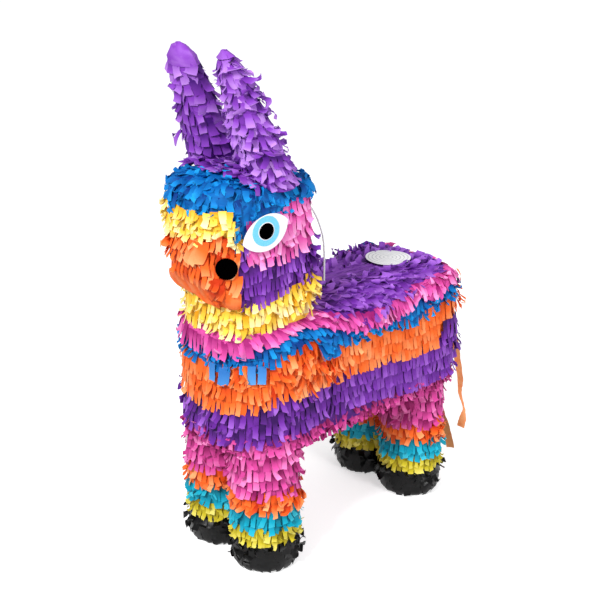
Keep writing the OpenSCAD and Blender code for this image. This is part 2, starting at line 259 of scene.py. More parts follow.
# The route's points, as in the CAD, in metres: one half, and then its mirror image back down
CORD_RISE = [
    (0.012, -0.003, 0.281), (0.012, -0.003, 0.288), (0.012, -0.003, 0.298), (0.012, -0.003, 0.310),
    (0.012, -0.003, 0.322), (0.012, -0.003, 0.334), (0.012, -0.004, 0.346), (0.012, -0.006, 0.357),
    (0.012, -0.010, 0.368), (0.012, -0.015, 0.379), (0.012, -0.022, 0.390), (0.011, -0.030, 0.399),
    (0.010, -0.039, 0.407), (0.008, -0.047, 0.412), (0.004, -0.053, 0.415),
]
CORD_ROUTE = CORD_RISE + [(0.0, -0.055, 0.416)] + [(-x, y, z) for x, y, z in reversed(CORD_RISE)]
CORD_HOLE_R = 2.5


def make_cord():
    curve = bpy.data.curves.new("hanging_cord", "CURVE")
    curve.dimensions = "3D"
    curve.bevel_depth = CORD_DIAMETER / 2
    curve.bevel_resolution = 3
    curve.use_fill_caps = True
    spline = curve.splines.new("POLY")
    spline.points.add(len(CORD_ROUTE) - 1)
    for point, place in zip(spline.points, CORD_ROUTE):
        point.co = (*place, 1.0)
    piece = in_scene("hanging_cord", curve)
    curve.materials.append(materials["white_cord"])
    length = sum(math.dist(a, b) for a, b in zip(CORD_ROUTE, CORD_ROUTE[1:]))
    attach(piece, CARCASS)
    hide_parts("hang_cord")
    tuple(CORD_ROUTE[0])


make_cord()


# ---- Sleeves: stacks of closed outlines that paper is wrapped on ----

STEP = 2.0


def unit(vectors):
    return vectors / np.maximum(np.linalg.norm(vectors, axis=-1, keepdims=True), 1e-9)


def gaps(points):
    """Distance from each point, or row of points, to the next."""
    return np.linalg.norm(np.diff(points, axis=0), axis=-1)


def running(steps):
    """Running total of some steps, from nothing."""
    return np.concatenate([[0], np.cumsum(steps)])


class Sleeve:
    """points[level, place] lie on the outside of the card. Level counts along the fall of the paper,
    from the top, a STEP at a time, and place goes once round."""

    def __init__(self, points, facing=1):
        self.points = points
        self.levels, self.places = points.shape[:2]
        self.around = np.roll(points, -1, axis=1) - np.roll(points, 1, axis=1)
        self.around = self.around / 2 * self.places
        self.down = np.gradient(points, axis=0) / STEP
        self.normals = unit(facing * np.cross(self.down, self.around))

    def read(self, table, u, level):
        """Bilinear reading of a table at u, a fraction of the way round, and a level in millimetres."""
        v = np.clip(level / STEP, 0, self.levels - 1.001)
        row = v.astype(int)
        rise = (v - row)[..., None]
        w = (u % 1.0) * self.places
        column = w.astype(int) % self.places
        run = (w - np.floor(w))[..., None]
        after = (column + 1) % self.places
        low = table[row, column] * (1 - run) + table[row, after] * run
        high = table[row + 1, column] * (1 - run) + table[row + 1, after] * run
        return low * (1 - rise) + high * rise

    def at(self, u, level):
        return self.read(self.points, u, level)

    def off(self, u, level, height):
        """Points at a height off the card."""
        return self.at(u, level) + unit(self.read(self.normals, u, level)) * np.asarray(height)[..., None]

    def pace(self, u, level):
        """Millimetres per turn round, and per millimetre of level, at a place."""
        around = np.linalg.norm(self.read(self.around, u, level), axis=-1)
        down = np.linalg.norm(self.read(self.down, u, level), axis=-1)
        return np.maximum(around, 1.0), np.maximum(down, 0.2)

    def nearest(self, target):
        """The place round and the level that come closest to a point."""
        away = np.linalg.norm(self.points - np.array(target, float), axis=2)
        level, place = np.unravel_index(np.argmin(away), away.shape)
        return place / self.places, level * STEP

    def outline(self, level):
        """One level, closed: its places round, its points, and the distance round to each."""
        u = np.arange(self.places + 1) / self.places
        loop = self.at(u, np.full(len(u), float(level)))
        return u, loop, running(gaps(loop))

    def girth(self, level):
        loop = self.outline(level)[1][:-1]
        return np.linalg.norm(np.roll(loop, -1, axis=0) - loop, axis=1).sum()

    def evenly(self, level, pitch, offset):
        """Places round one level, a pitch apart along the outline."""
        u, _, lengths = self.outline(level)
        count = max(int(round(lengths[-1] / pitch)), 3)
        return np.interp((np.arange(count) + offset) / count * lengths[-1], lengths, u)

    def level_of(self, z):
        """Level where the surface comes down to a height. It is the same all round on upright walls."""
        heights = np.minimum.accumulate(self.points[:, 0, 2])
        return np.interp(-np.asarray(z), -heights, np.arange(self.levels) * STEP)

    def line(self, height, more=0.0):
        """The level of an edge, and so much further down, for every u."""
        return lambda u: self.level_of(height(u)) + more

    def rows(self, low, high, gap):
        """Levels, for every u, of rows of tab ends from a low edge to just under a high one."""
        sample = np.linspace(0, 1, 90)
        count = max(int(round(float(np.mean(high(sample) - low(sample))) / gap)), 1)

        def row(share):
            return self.line(lambda u: low(u) + (high(u) - low(u)) * share)

        return [row(k / count) for k in range(count)][::-1]

    def stack(self, low, gap, count):
        """Levels of so many rows of tab ends, a gap apart, up from a low edge."""
        return [self.line(low, -gap * k) for k in range(count)][::-1]


def rows_between(rows, places):
    """Rows of a stack of outlines, at places between whole ones."""
    low = np.minimum(places.astype(int), len(rows) - 2)
    share = (places - low)[:, None, None]
    return rows[low] * (1 - share) + rows[low + 1] * share


def evenly_spaced(rows):
    """Outlines a STEP apart along the fall of the surface, read from a stack of unevenly spaced ones."""
    fall = running(gaps(rows).mean(axis=1))
    return rows_between(rows, np.interp(np.arange(0, fall[-1], STEP), fall, np.arange(len(rows))))


def ring(centre, halves, places):
    """A level ellipse round a centre."""
    angle = np.arange(places) / places * TURN
    return np.column_stack([centre[0] + halves[0] * np.cos(angle),
                            centre[1] + halves[1] * np.sin(angle), np.full(places, float(centre[2]))])


def arc_points(centre, radius, start, count):
    angles = start + np.linspace(0, math.pi / 2, count, endpoint=False)
    return np.stack([centre[0] + radius * np.cos(angles), centre[1] + radius * np.sin(angles)], axis=1)


def straight(start, end, count):
    share = np.linspace(0, 1, count, endpoint=False)[:, None]
    return np.array(start) * (1 - share) + np.array(end) * share


# Points on the flank, rear corner, rump, rear corner, flank, front corner, chest and front corner
PLAN_COUNTS = (96, 24, 36, 24, 96, 40, 16, 40)


def plan_outline(y0, y1, half, front_r, rear_r):
    """A rectangle in plan with round corners, from the front of the left flank round by the rump."""
    n = PLAN_COUNTS
    return np.concatenate([
        straight((half, y0 + front_r), (half, y1 - rear_r), n[0]),
        arc_points((half - rear_r, y1 - rear_r), rear_r, 0, n[1]),
        straight((half - rear_r, y1), (-half + rear_r, y1), n[2]),
        arc_points((-half + rear_r, y1 - rear_r), rear_r, math.pi / 2, n[3]),
        straight((-half, y1 - rear_r), (-half, y0 + front_r), n[4]),
        arc_points((-half + front_r, y0 + front_r), front_r, math.pi, n[5]),
        straight((-half + front_r, y0), (half - front_r, y0), n[6]),
        arc_points((half - front_r, y0 + front_r), front_r, 1.5 * math.pi, n[7]),
    ])


# ---- The body: upright walls, and a crowned back that is flat along its top ----

BODY_LOW, BODY_HIGH = box("body_wall")
BACK_TOP = box("back_panel")[1][2]
BELLY_UNDER = box("belly_panel")[0][2]
BODY_HALF, FLANK_TOP = BODY_HIGH[0], BODY_HIGH[2]
BODY_MID_Y, BODY_HALF_L = spot("body_wall", 1)[0][1], spot("body_wall", 1)[1]
FRINGE_DEPTH = box("purple_band")[1][0] - BODY_HALF
BODY_FRONT_R, BODY_REAR_R = 63.0, 38.0
CROWN_RISE = 31.0
BACK_POWER, RUMP_POWER = 2.5, 6.0
LEAST_R = 14.0
SKIRT = 24.0  # the outline carries on this far below the walls, so that tabs can hang past them
MIDDLE_HALF = 2.0  # the back and the underside start this far out from their middle line


def crown_share(z, power):
    """Share of the full half width that is left at a height in the crown."""
    rise = np.clip((z - FLANK_TOP) / CROWN_RISE, 0, 1)
    return (1 - rise ** power) ** (1 / power)


def body_outline(half, half_l, z):
    inset = BODY_HALF - half
    front = max(BODY_FRONT_R - inset, min(LEAST_R, half))
    rear = max(BODY_REAR_R - inset, min(LEAST_R, half))
    flat = plan_outline(BODY_MID_Y - half_l, BODY_MID_Y + half_l, half, front, rear)
    return np.column_stack([flat, np.full(len(flat), z)])


def body_sleeve():
    flat_half = BODY_HALF * crown_share(BACK_TOP, BACK_POWER)
    flat_half_l = BODY_HALF_L * crown_share(BACK_TOP, RUMP_POWER)
    profile = [(half, flat_half_l - (flat_half - half), BACK_TOP)
               for half in np.arange(MIDDLE_HALF, flat_half - 1, STEP)]
    heights = BACK_TOP - (BACK_TOP - FLANK_TOP) * np.linspace(0, 1, 90) ** 1.6
    profile += [(BODY_HALF * crown_share(z, BACK_POWER), BODY_HALF_L * crown_share(z, RUMP_POWER), z)
                for z in heights]
    profile += [(BODY_HALF, BODY_HALF_L, z)
                for z in np.arange(FLANK_TOP - STEP, BODY_LOW[2] - SKIRT, -STEP)]
    profile = np.array(profile)
    # Even steps along the fall of the flank
    fall = running(np.hypot(np.diff(profile[:, 0]), np.diff(profile[:, 2])))
    levels = np.arange(0, fall[-1], STEP)
    even = np.column_stack([np.interp(levels, fall, profile[:, k]) for k in range(3)])
    return Sleeve(np.array([body_outline(*row) for row in even]))


def body_top(x, y, grow):
    """Height of the back over a point, so far outside the card."""
    across = np.clip(np.abs(x) / (BODY_HALF + grow), 0, 1)
    along = np.clip(np.abs(y - BODY_MID_Y) / (BODY_HALF_L + grow), 0, 1)
    rise = np.minimum((1 - across ** BACK_POWER) ** (1 / BACK_POWER),
                      (1 - along ** RUMP_POWER) ** (1 / RUMP_POWER))
    return np.minimum(FLANK_TOP + (CROWN_RISE + grow) * rise, BACK_TOP + grow)


def belly_sleeve():
    """The underside, from its middle line out to the walls."""
    rows = [body_outline(half, BODY_HALF_L - (BODY_HALF - half), BELLY_UNDER)
            for half in np.arange(MIDDLE_HALF, BODY_HALF + SKIRT / 2, STEP)]
    return Sleeve(np.array(rows), facing=-1)


# ---- The head: an upright neck with a rounded top, and a muzzle that stands out in front ----

NECK_LOW, NECK_HIGH = box("neck_wall")
MUZZLE_LOW = box("muzzle_shell")[0]
HEAD_TOP = box("crown_panel")[1][2]
TEMPLE = NECK_HIGH[2]
TEMPLE_RISE = HEAD_TOP - TEMPLE
NECK_HALF, NECK_FRONT, NECK_REAR = NECK_HIGH[0], NECK_LOW[1], NECK_HIGH[1]
FACE_HALF, FACE_FRONT, FACE_REAR = NECK_HALF - 6, MUZZLE_LOW[1], -112.0
CHIN = MUZZLE_LOW[2]
NECK_FRONT_R, NECK_REAR_R, FACE_R, FACE_REAR_R = 43.0, 15.0, 38.0, 5.0
MUZZLE_PROFILE_Z = (CHIN, 354.0, 387.0, 412.0)
BROW_BACK = 3.0
HEAD_POWER = 2.5
HEAD_MID_Y = -115.0
HEAD_PLACES = 144
HEAD_FOOT = 262.0
BROW_STEEPNESS = 20  # scales the dome's form to about millimetres
CAST_REACH, CAST_HALVINGS = 160.0, 26


def outside_plan(x, y, y0, y1, half, front_r, rear_r):
    """Distance outside a rectangle with round corners, in plan. Less than nothing inside it."""
    middle = (y0 + y1) / 2
    r = np.where(y < middle, front_r, rear_r)
    dx = np.abs(x) - half + r
    dy = np.abs(y - middle) - (y1 - y0) / 2 + r
    return np.hypot(np.maximum(dx, 0), np.maximum(dy, 0)) + np.minimum(np.maximum(dx, dy), 0) - r


def outside_head(x, y, z, grow=0.0):
    """More than nothing outside the head's card, or outside a skin that stands off it."""
    neck = outside_plan(x, y, NECK_FRONT - grow, NECK_REAR + grow, NECK_HALF + grow,
                        NECK_FRONT_R + grow, NECK_REAR_R + grow)
    face = outside_plan(x, y, FACE_FRONT - grow, FACE_REAR, FACE_HALF + grow, FACE_R + grow,
                        FACE_REAR_R)
    form = np.where(z < CHIN, neck, np.minimum(neck, face))
    slope = np.interp(z, MUZZLE_PROFILE_Z,
                      (NECK_FRONT, FACE_FRONT, FACE_FRONT, FACE_FRONT + BROW_BACK)) - grow
    form = np.maximum(form, slope - y)
    rise = np.clip((z - TEMPLE) / (TEMPLE_RISE + grow), 0, None) ** HEAD_POWER
    brow = FACE_FRONT + BROW_BACK - grow
    half_l = (NECK_REAR + grow - brow) / 2
    along = (np.abs(y - brow - half_l) / half_l) ** HEAD_POWER + rise - 1
    across = (np.abs(x) / (NECK_HALF + grow)) ** HEAD_POWER + rise - 1
    return np.where(z > TEMPLE, np.maximum(form, BROW_STEEPNESS * np.maximum(along, across)), form)


def cast(origin, direction, outside):
    """Where rays from inside a form leave it, by halving."""
    near = np.zeros(direction.shape[:-1])
    far = np.full(direction.shape[:-1], CAST_REACH)
    for _ in range(CAST_HALVINGS):
        middle = (near + far) / 2
        p = origin + direction * middle[..., None]
        is_out = outside(p[..., 0], p[..., 1], p[..., 2]) > 0
        far = np.where(is_out, middle, far)
        near = np.where(is_out, near, middle)
    return origin + direction * near[..., None]


def head_sleeve():
    level, up = ring((0, 0, 0), (1, 1), HEAD_PLACES), np.array([0.0, 0.0, 1.0])
    centre = np.array([0.0, HEAD_MID_Y, TEMPLE])
    dome = [cast(centre, level * math.cos(climb) + up * math.sin(climb), outside_head)
            for climb in np.radians(np.linspace(88, 0, 60))]
    walls = [cast(np.array([0.0, HEAD_MID_Y, z]), level, outside_head)
             for z in np.arange(TEMPLE - STEP, HEAD_FOOT, -STEP)]
    points = evenly_spaced(np.array(dome + walls))
    return Sleeve((np.roll(points, 1, axis=1) + 2 * points + np.roll(points, -1, axis=1)) / 4)


# ---- Legs and ears ----

LEG_PLACES = 72
LEG_TUCK = 8  # how far the leg's paper starts above the body's bottom edge
LEG_FOOT = 20


def leg_sleeve(node):
    middle, radius = spot(node)
    return Sleeve(np.array([ring((middle[0], middle[1], z), (radius, radius), LEG_PLACES)
                            for z in np.arange(BODY_LOW[2] + LEG_TUCK, LEG_FOOT, -STEP)]))


def hoof_sleeve(node):
    """A bowl: upright above, and rounded in to a closed foot."""
    (middle, radius), top = spot(node), box(node)[1][2]
    bowl = [(radius - 1.5, top + 3), (radius - 0.4, top - 6), (radius, top - 14), (radius - 0.4, 14),
            (radius - 1.0, 9), (radius - 2.0, 5), (radius - 4.5, 2.2), (radius - 10, 0.9), (3, 0.7)]
    rings = np.array([ring((middle[0], middle[1], z), (r, r), LEG_PLACES) for r, z in bowl])
    return Sleeve(evenly_spaced(rows_between(rings, np.linspace(0, len(bowl) - 1, 60))))


EAR_FOOT = 460.0
EAR_SKIRT = 26.0
EAR_X, EAR_Y = 41.0, -115.0
EAR_LEAN = 46.0
EAR_TIP_IN = 5.0
# Half width and half depth at the foot and at the tip. The left ear is the slimmer one
EAR_HALVES = {"left": ((29.0, 26.0), (15.0, 11.0)), "right": ((31.0, 28.5), (20.0, 11.5))}
EAR_DEPTH = 6.0
EAR_PLACES = 60
EAR_ROUND_FROM = 0.84
EAR_TAPER = 1.4


def ear_sleeve(side_name):
    """The ear's card, from its tip down, and on a little below its foot."""
    side = SIDES[side_name]
    top = box(f"ear_fringe_{side_name}")[1][2] - EAR_DEPTH
    foot, tip = (np.array(half) for half in EAR_HALVES[side_name])
    # Shares of the way up: closely spaced where the tip rounds over, and below nothing in the skirt
    share = np.concatenate([1 - (1 - EAR_ROUND_FROM) * np.linspace(0.02, 1, 24) ** 2,
                            np.linspace(0.835, 0, 60),
                            -np.linspace(0.02, 1, 10) * EAR_SKIRT / (top - EAR_FOOT)])
    rows = []
    for t in share:
        over = max(0.0, (t - EAR_ROUND_FROM) / (1 - EAR_ROUND_FROM))
        round_off = math.sqrt(max(0.004, 1 - over * over))
        half = (foot + (tip - foot) * max(t, 0) ** EAR_TAPER - EAR_DEPTH) * round_off
        middle = (side * (EAR_X - EAR_TIP_IN * t), EAR_Y - EAR_LEAN * t,
                  EAR_FOOT + (top - EAR_FOOT) * t)
        rows.append(ring(middle, half, EAR_PLACES))
    return Sleeve(evenly_spaced(np.array(rows)))


# ---- Paper ----

FIRST_SEED = 7000
PAPER_T = 0.25
CARD_T = 0.5
MIDDLE_GAP = 0.3  # the paper of a leg or hoof stays this far from the middle line
TAB_STEPS = 7
TAB_COLUMNS = 3
CLUMP_SIZES = (95.0, 52.0, 31.0)
FOLD_SHARPNESS = 14.0
LEAST_HEIGHT = 0.9
OVER_REACH = 0.25  # the share that is left of any height past the reach
# Spread of each tab's drift, of its cup and the slant of its end by its width, and of wrinkles in mm
DRIFT, CUP, SLANT, WRINKLE = 0.12, 0.10, 0.10, 0.12
# Spread of each tab's own tone, and the painted shade at its root and the painted light at its end
TONE_SPREAD, PAINTED_ROOT_SHADE, PAINTED_END_LIGHT = 0.18, -0.46, 0.18
TUCK = 6  # how far a backing goes up under the band above


@dataclass
class Cut:
    """How tissue is cut into tabs, and how untidily they hang. Angles are in radians."""
    pitch: float = 6.6
    length: float = 23.0
    lift: float = 0.17
    mess: float = 0.5
    stray: float = 0.05
    lean: float = 0.0
    fullness: float = 0.93
    wobble: float = 2.0
    root: float = 2.4
    reach: float = 10.0
    fold: float = 0.25
    uncut: float = 0.35


@dataclass
class Tabs:
    """One value for each tab, in flat paper space."""
    length: np.ndarray
    width: np.ndarray
    fullness: np.ndarray
    lift: np.ndarray
    lean: np.ndarray
    curl: np.ndarray
    twist: np.ndarray
    fold: np.ndarray
    root: np.ndarray


def everywhere(edge):
    """An edge as a function of the place round. A plain number is the same all round."""
    return edge if callable(edge) else lambda u: np.full(np.shape(u), float(edge))


def edge_keys(edges, total):
    return edges.min(axis=1).astype(np.int64) * total + edges.max(axis=1)


def make_mesh(name, points, quads, tones, rims):
    """A mesh of quads, smooth but for the edges of its rims."""
    mesh = bpy.data.meshes.new(name)
    mesh.vertices.add(len(points))
    mesh.vertices.foreach_set("co", (points * MM).astype(np.float32).ravel())
    mesh.loops.add(4 * len(quads))
    mesh.loops.foreach_set("vertex_index", quads.astype(np.int32).ravel())
    mesh.polygons.add(len(quads))
    mesh.polygons.foreach_set("loop_start", np.arange(0, 4 * len(quads), 4, dtype=np.int32))
    mesh.update(calc_edges=True)
    mesh.polygons.foreach_set("use_smooth", np.ones(len(quads), bool))
    ends = np.zeros(2 * len(mesh.edges), np.int32)
    mesh.edges.foreach_get("vertices", ends)
    sharp = np.isin(edge_keys(ends.reshape(-1, 2), len(points)), edge_keys(rims, len(points)))
    mesh.attributes.new("sharp_edge", "BOOLEAN", "EDGE").data.foreach_set("value", sharp)
    mesh.attributes.new("tone", "FLOAT", "POINT").data.foreach_set("value", tones.astype(np.float32))
    return in_scene(name, mesh)


class Paper:
    """Sheets of paper gathered into one piece, each closed into a thin solid. They are laid on a sleeve,
    with random draws of the piece's own. On a sleeve, keep(points, u) says what stays."""

    def __init__(self, seed=0, sleeve=None):
        self.rng = np.random.default_rng(FIRST_SEED + seed)
        self.sleeve = sleeve
        self.points, self.normals, self.tones, self.quads = [], [], [], []
        self.count = 0

    def add(self, grid, tone, keep=None):
        """Adds grids of points, shape (sheets, along, across, 3). keep says which of their quads stay."""
        sheets, along, across = grid.shape[:3]
        ids = self.count + np.arange(sheets * along * across).reshape(sheets, along, across)
        quads = np.stack([ids[:, :-1, :-1], ids[:, 1:, :-1], ids[:, 1:, 1:], ids[:, :-1, 1:]], axis=-1)
        self.quads.append(quads[keep] if keep is not None else quads.reshape(-1, 4))
        self.points.append(grid.reshape(-1, 3))
        normals = unit(np.cross(np.gradient(grid, axis=1), np.gradient(grid, axis=2)))
        self.normals.append(normals.reshape(-1, 3))
        self.tones.append(np.broadcast_to(tone, grid.shape[:3]).reshape(-1))
        self.count += sheets * along * across

    def build(self, name, finish, node=None, body_name=CARCASS, side=None, thickness=PAPER_T):
        """Makes the piece: a second layer under each sheet, and a rim along its open edges."""
        points, normals = np.concatenate(self.points), np.concatenate(self.normals)
        tones, quads = np.concatenate(self.tones), np.concatenate(self.quads)
        used = np.unique(quads)
        order = np.full(len(points), -1)
        order[used] = np.arange(len(used))
        points, normals, tones, quads = points[used], normals[used], tones[used], order[quads]
        if side is not None:
            points[:, 0] = side * np.maximum(side * points[:, 0], MIDDLE_GAP)
        n = len(points)
        edges = np.concatenate([quads[:, [k, (k + 1) % 4]] for k in range(4)])
        _, first, uses = np.unique(edge_keys(edges, n), return_index=True, return_counts=True)
        rim = edges[first[uses == 1]]
        rim_quads = np.stack([rim[:, 1], rim[:, 0], rim[:, 0] + n, rim[:, 1] + n], axis=1)
        quads = np.concatenate([quads, quads[:, ::-1] + n, rim_quads])
        points = np.concatenate([points, points - normals * thickness])
        points[:, 2] = np.maximum(points[:, 2], PAPER_T)
        piece = make_mesh(name, points, quads, np.concatenate([tones, tones]),
                          np.concatenate([rim, rim + n]))
        piece.data.materials.append(materials[finish])
        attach(piece, body_name)
        if node:
            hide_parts(node)

    def bent(self, tabs, reach, uncut=0.0):
        """Tabs in flat paper space: distance along the row, distance down, and height off the card.
        Over their uncut share they hang straight, side by side; past it each goes its own way."""
        rng, n = self.rng, len(tabs.length)
        t = np.linspace(0, 1, TAB_STEPS + 1)[None, :]
        joined = np.broadcast_to(uncut, n)[:, None]
        loose = np.clip((t - joined) / (1 - joined), 0, 1)
        crease_at = joined + (1 - joined) * rng.uniform(0.15, 0.75, n)[:, None]
        crease = 1 / (1 + np.exp(-FOLD_SHARPNESS * (t - crease_at)))
        pitch = tabs.lift[:, None] + tabs.curl[:, None] * loose ** 1.5 + tabs.fold[:, None] * crease
        yaw = tabs.lean[:, None] * np.minimum(2 * loose, 1) + rng.normal(0, DRIFT, n)[:, None] * loose
        step = tabs.length[:, None] / TAB_STEPS
        way = np.stack([np.sin(yaw) * np.cos(pitch), np.cos(yaw) * np.cos(pitch), np.sin(pitch)], axis=-1)
        spine = np.cumsum(way * step[..., None], axis=1)
        spine = np.concatenate([np.zeros((n, 1, 3)), spine[:, :-1]], axis=1)
        spine[..., 2] += tabs.root[:, None]
        side = np.stack([np.cos(yaw), -np.sin(yaw), np.zeros_like(yaw)], axis=-1)
        turn = (tabs.twist[:, None] * loose)[..., None]
        across = side * np.cos(turn) + np.cross(side, way) * np.sin(turn)
        outward = np.cross(across, way)
        x = np.linspace(-1, 1, TAB_COLUMNS)[None, None, :, None]
        share = 1 + (tabs.fullness[:, None] - 1) * np.minimum(4 * loose, 1)
        half = (tabs.width[:, None] / 2 * share)[..., None, None]
        cup = (rng.normal(0, CUP, n)[:, None] * tabs.width[:, None] * loose)[..., None, None]
        grid = (spine[:, :, None] + across[:, :, None] * x * half
                + outward[:, :, None] * cup * (1 - x ** 2))
        end_slant = rng.normal(0, SLANT, n)[:, None] * tabs.width[:, None]
        grid[:, -1, :, 1] += end_slant * np.linspace(-1, 1, TAB_COLUMNS)
        grid += rng.normal(0, WRINKLE, grid.shape)
        height = grid[..., 2]
        grid[..., 2] = np.where(height > reach, reach + (height - reach) * OVER_REACH,
                                np.maximum(height, LEAST_HEIGHT))
        return grid

    def shades(self, n, tone, contrast=1.0):
        """Each tab has its own tone, with painted shade where it comes out from under the next row, paling
        to painted light at its end.
        """
        contrast = np.broadcast_to(contrast, n)
        shade = tone + self.rng.normal(0, TONE_SPREAD, n) * contrast
        # Painted shade at the root, fading to painted light at the end
        fall = np.linspace(PAINTED_ROOT_SHADE, PAINTED_END_LIGHT, TAB_STEPS + 1) * contrast[:, None]
        return shade[:, None, None] + fall[..., None]

    def hang(self, u, level, grid, shade, headroom=None):
        """Lays flat paper space on the sleeve, each tab hung from its own root. headroom(points) says how
        high the tabs may stand where something holds them down."""
        around, down = self.sleeve.pace(u, level)
        places = u[:, None, None] + grid[..., 0] / around[:, None, None]
        levels = level[:, None, None] + grid[..., 1] / down[:, None, None]
        height = grid[..., 2]
        if headroom is not None:
            height = np.minimum(height, headroom(self.sleeve.off(places, levels, height)))
        self.add(self.sleeve.off(places, levels, height), shade)

    def wander(self, u, level, row, rows):
        """Smooth noise round each row, about -1 to 1, that changes over a few tabs."""
        girth = self.sleeve.girth(float(np.mean(level)))
        total = np.zeros(len(u))
        for size in CLUMP_SIZES:
            phase = self.rng.uniform(0, TURN, rows)
            total += np.sin(TURN * max(1, round(girth / size)) * u + phase[row])
        return total / 2.2

    def fringe(self, tips, cut, keep=None, tone=0.55, headroom=None, calm=None):
        """Rows of tabs whose ends come down to tips: each is a level, or a level for every u. keep
        goes by where they end, and calm(u) says how neatly they lie, up to 1."""
        rng, sleeve = self.rng, self.sleeve
        rows_u, rows_tip = [], []
        for at in map(everywhere, tips):
            middle = float(np.mean(at(np.linspace(0, 1, 60))))
            rows_u.append(sleeve.evenly(middle, cut.pitch, rng.uniform()))
            rows_tip.append(at(rows_u[-1]))
        row = np.repeat(np.arange(len(tips)), [len(places) for places in rows_u])
        u, tip = np.concatenate(rows_u), np.concatenate(rows_tip)
        n = len(u)
        waviness, clump, swing, bulge, thin = (self.wander(u, tip, row, len(tips)) for _ in range(5))
        u = u + rng.normal(0, 0.07, n) * cut.pitch / sleeve.pace(u, tip)[0]
        still = np.zeros(n) if calm is None else calm(u)
        untidy = cut.mess * np.clip(0.6 + 0.75 * clump, 0.08, 1.5) * (1 - 0.85 * still)
        uncut = np.clip(cut.uncut + 0.15 * swing + 0.35 * still, 0.0, 0.72)
        stray = rng.uniform(size=n) < cut.stray
        folded = rng.uniform(size=n) < cut.fold * (0.4 + untidy)
        tabs = Tabs(
            length=cut.length * (1 + rng.normal(0, 0.07, n)) * np.where(stray, 1.15, 1.0),
            width=np.full(n, cut.pitch * 1.04),
            fullness=(cut.fullness * rng.uniform(0.72 + 0.16 * still, 1.06, n)
                      * np.where(thin > 0.4, 0.85, 1.0)),
            lift=cut.lift + rng.normal(0, 0.02, n) + 0.08 * untidy * bulge,
            lean=(cut.lean + rng.normal(0, 0.05, n) + untidy * (0.42 * swing + rng.normal(0, 0.30, n))
                  + np.where(stray, rng.normal(0, 0.5, n), 0)),
            curl=(np.clip(untidy * (0.35 + 0.7 * bulge + rng.normal(0, 0.7, n)), -0.4, 1.6)
                  + np.where(stray, rng.uniform(0.7, 2.0, n), 0)),
            twist=untidy * rng.normal(0, 0.7, n) + np.where(stray, rng.normal(0, 0.9, n), 0),
            fold=np.where(folded,
                          rng.uniform(0.4, 1.4, n) * np.where(rng.uniform(size=n) < 0.75, 1, -1), 0),
            root=cut.root + 0.3 * (np.arange(n) % 2) + 0.15 * bulge,
        )
        grid = self.bent(tabs, cut.reach, uncut)
        # Painted shade and painted light on each tab, weaker where the tabs lie calm
        shade = self.shades(n, tone + 0.10 * clump, 1 - 0.6 * still)
        ragged = cut.wobble * (0.6 * waviness + rng.normal(0, 0.35, n))
        start = tip + ragged - tabs.length / sleeve.pace(u, tip)[1]
        chosen = start > 0
        if keep is not None:
            chosen &= keep(sleeve.off(u, tip, cut.root), u)
        if chosen.any():
            self.hang(u[chosen], start[chosen], grid[chosen], shade[chosen], headroom)

    def tuft(self, middle, count, spread, length, width, wildness=1.0, reach=13.0, tone=0.6, lean=0.0,
             root=4.0):
        """A tangle of loose tabs round one point of the sleeve."""
        rng = self.rng
        u, level = self.sleeve.nearest(middle)
        around, down = self.sleeve.pace(np.array([u]), np.array([level]))
        places = u + rng.normal(0, spread[0], count) / around
        levels = level + rng.normal(0, spread[1], count) / down - length * 0.5
        tabs = Tabs(
            length=length * rng.uniform(0.75, 1.2, count),
            width=width * rng.uniform(0.7, 1.25, count),
            fullness=rng.uniform(0.8, 1.0, count),
            lift=rng.uniform(0.15, 0.6, count) * wildness,
            lean=lean + rng.normal(0, 0.55, count) * wildness,
            curl=rng.normal(0.35, 0.8, count) * wildness,
            twist=rng.normal(0, 0.9, count) * wildness,
            fold=rng.normal(0, 0.5, count) * wildness,
            root=root + rng.uniform(0, 2.0, count),
        )
        self.hang(places, np.maximum(levels, 0.5), self.bent(tabs, reach), self.shades(count, tone))

    def loose_tab(self, root_at, length, width, lean, root, tone):
        """One given tab, hung from a point of the sleeve."""
        u, level, *values = (np.array([float(value)]) for value in (
            *self.sleeve.nearest(root_at), length, width, 1, 0.1, lean, 0, 0, 0, root))
        self.hang(u, level, self.bent(Tabs(*values), reach=14.0), self.shades(1, tone))

    def backing(self, top, bottom, height=2.0, tone=0.2, keep=None, crumple=0.35, pitch=5.0):
        """The uncut paper under the tabs, between two levels that may change round the sleeve. Its default
        tone is low, as painted shade in the gaps between tabs.
        """
        ends = [everywhere(end)(np.linspace(0, 1, 5)) for end in (top, bottom)]
        rows = max(int(float(np.max(ends[1] - ends[0])) / 4), 1) + 1
        u = np.linspace(0, 1, max(int(self.sleeve.girth(float(np.mean(ends))) / pitch), 12) + 1)
        share = np.linspace(0, 1, rows)[:, None]
        levels = everywhere(top)(u) * (1 - share) + everywhere(bottom)(u) * share
        uu = np.broadcast_to(u, levels.shape)
        rise = height + self.rng.normal(0, crumple, levels.shape)
        rise[:, -1] = rise[:, 0]
        grid = self.sleeve.off(uu, levels, rise)[None]
        kept = None
        if keep is not None:
            kept = keep((grid[:, :-1, :-1] + grid[:, 1:, 1:]) / 2,
                        (uu[None, :-1, :-1] + uu[None, 1:, 1:]) / 2)
        self.add(grid, tone + self.rng.normal(0, 0.05, levels.shape)[None], kept)

    def band(self, high, low, gap, cut, keep=None, height=2.0, under=0.2, hem=3, **fringe):
        """A backing, of tone under, which is painted shade in the gaps between the tabs, and rows of tabs
        between two edges.
        """
        line = self.sleeve.line
        self.backing(line(high, -TUCK), line(low, -hem), height, under, keep)
        self.fringe(self.sleeve.rows(low, high, gap), cut, keep, **fringe)


body, belly, head = body_sleeve(), belly_sleeve(), head_sleeve()


# ---- Where one colour gives way to the next ----

BROW = 0.75  # the middle of the face is this share of the way round the head


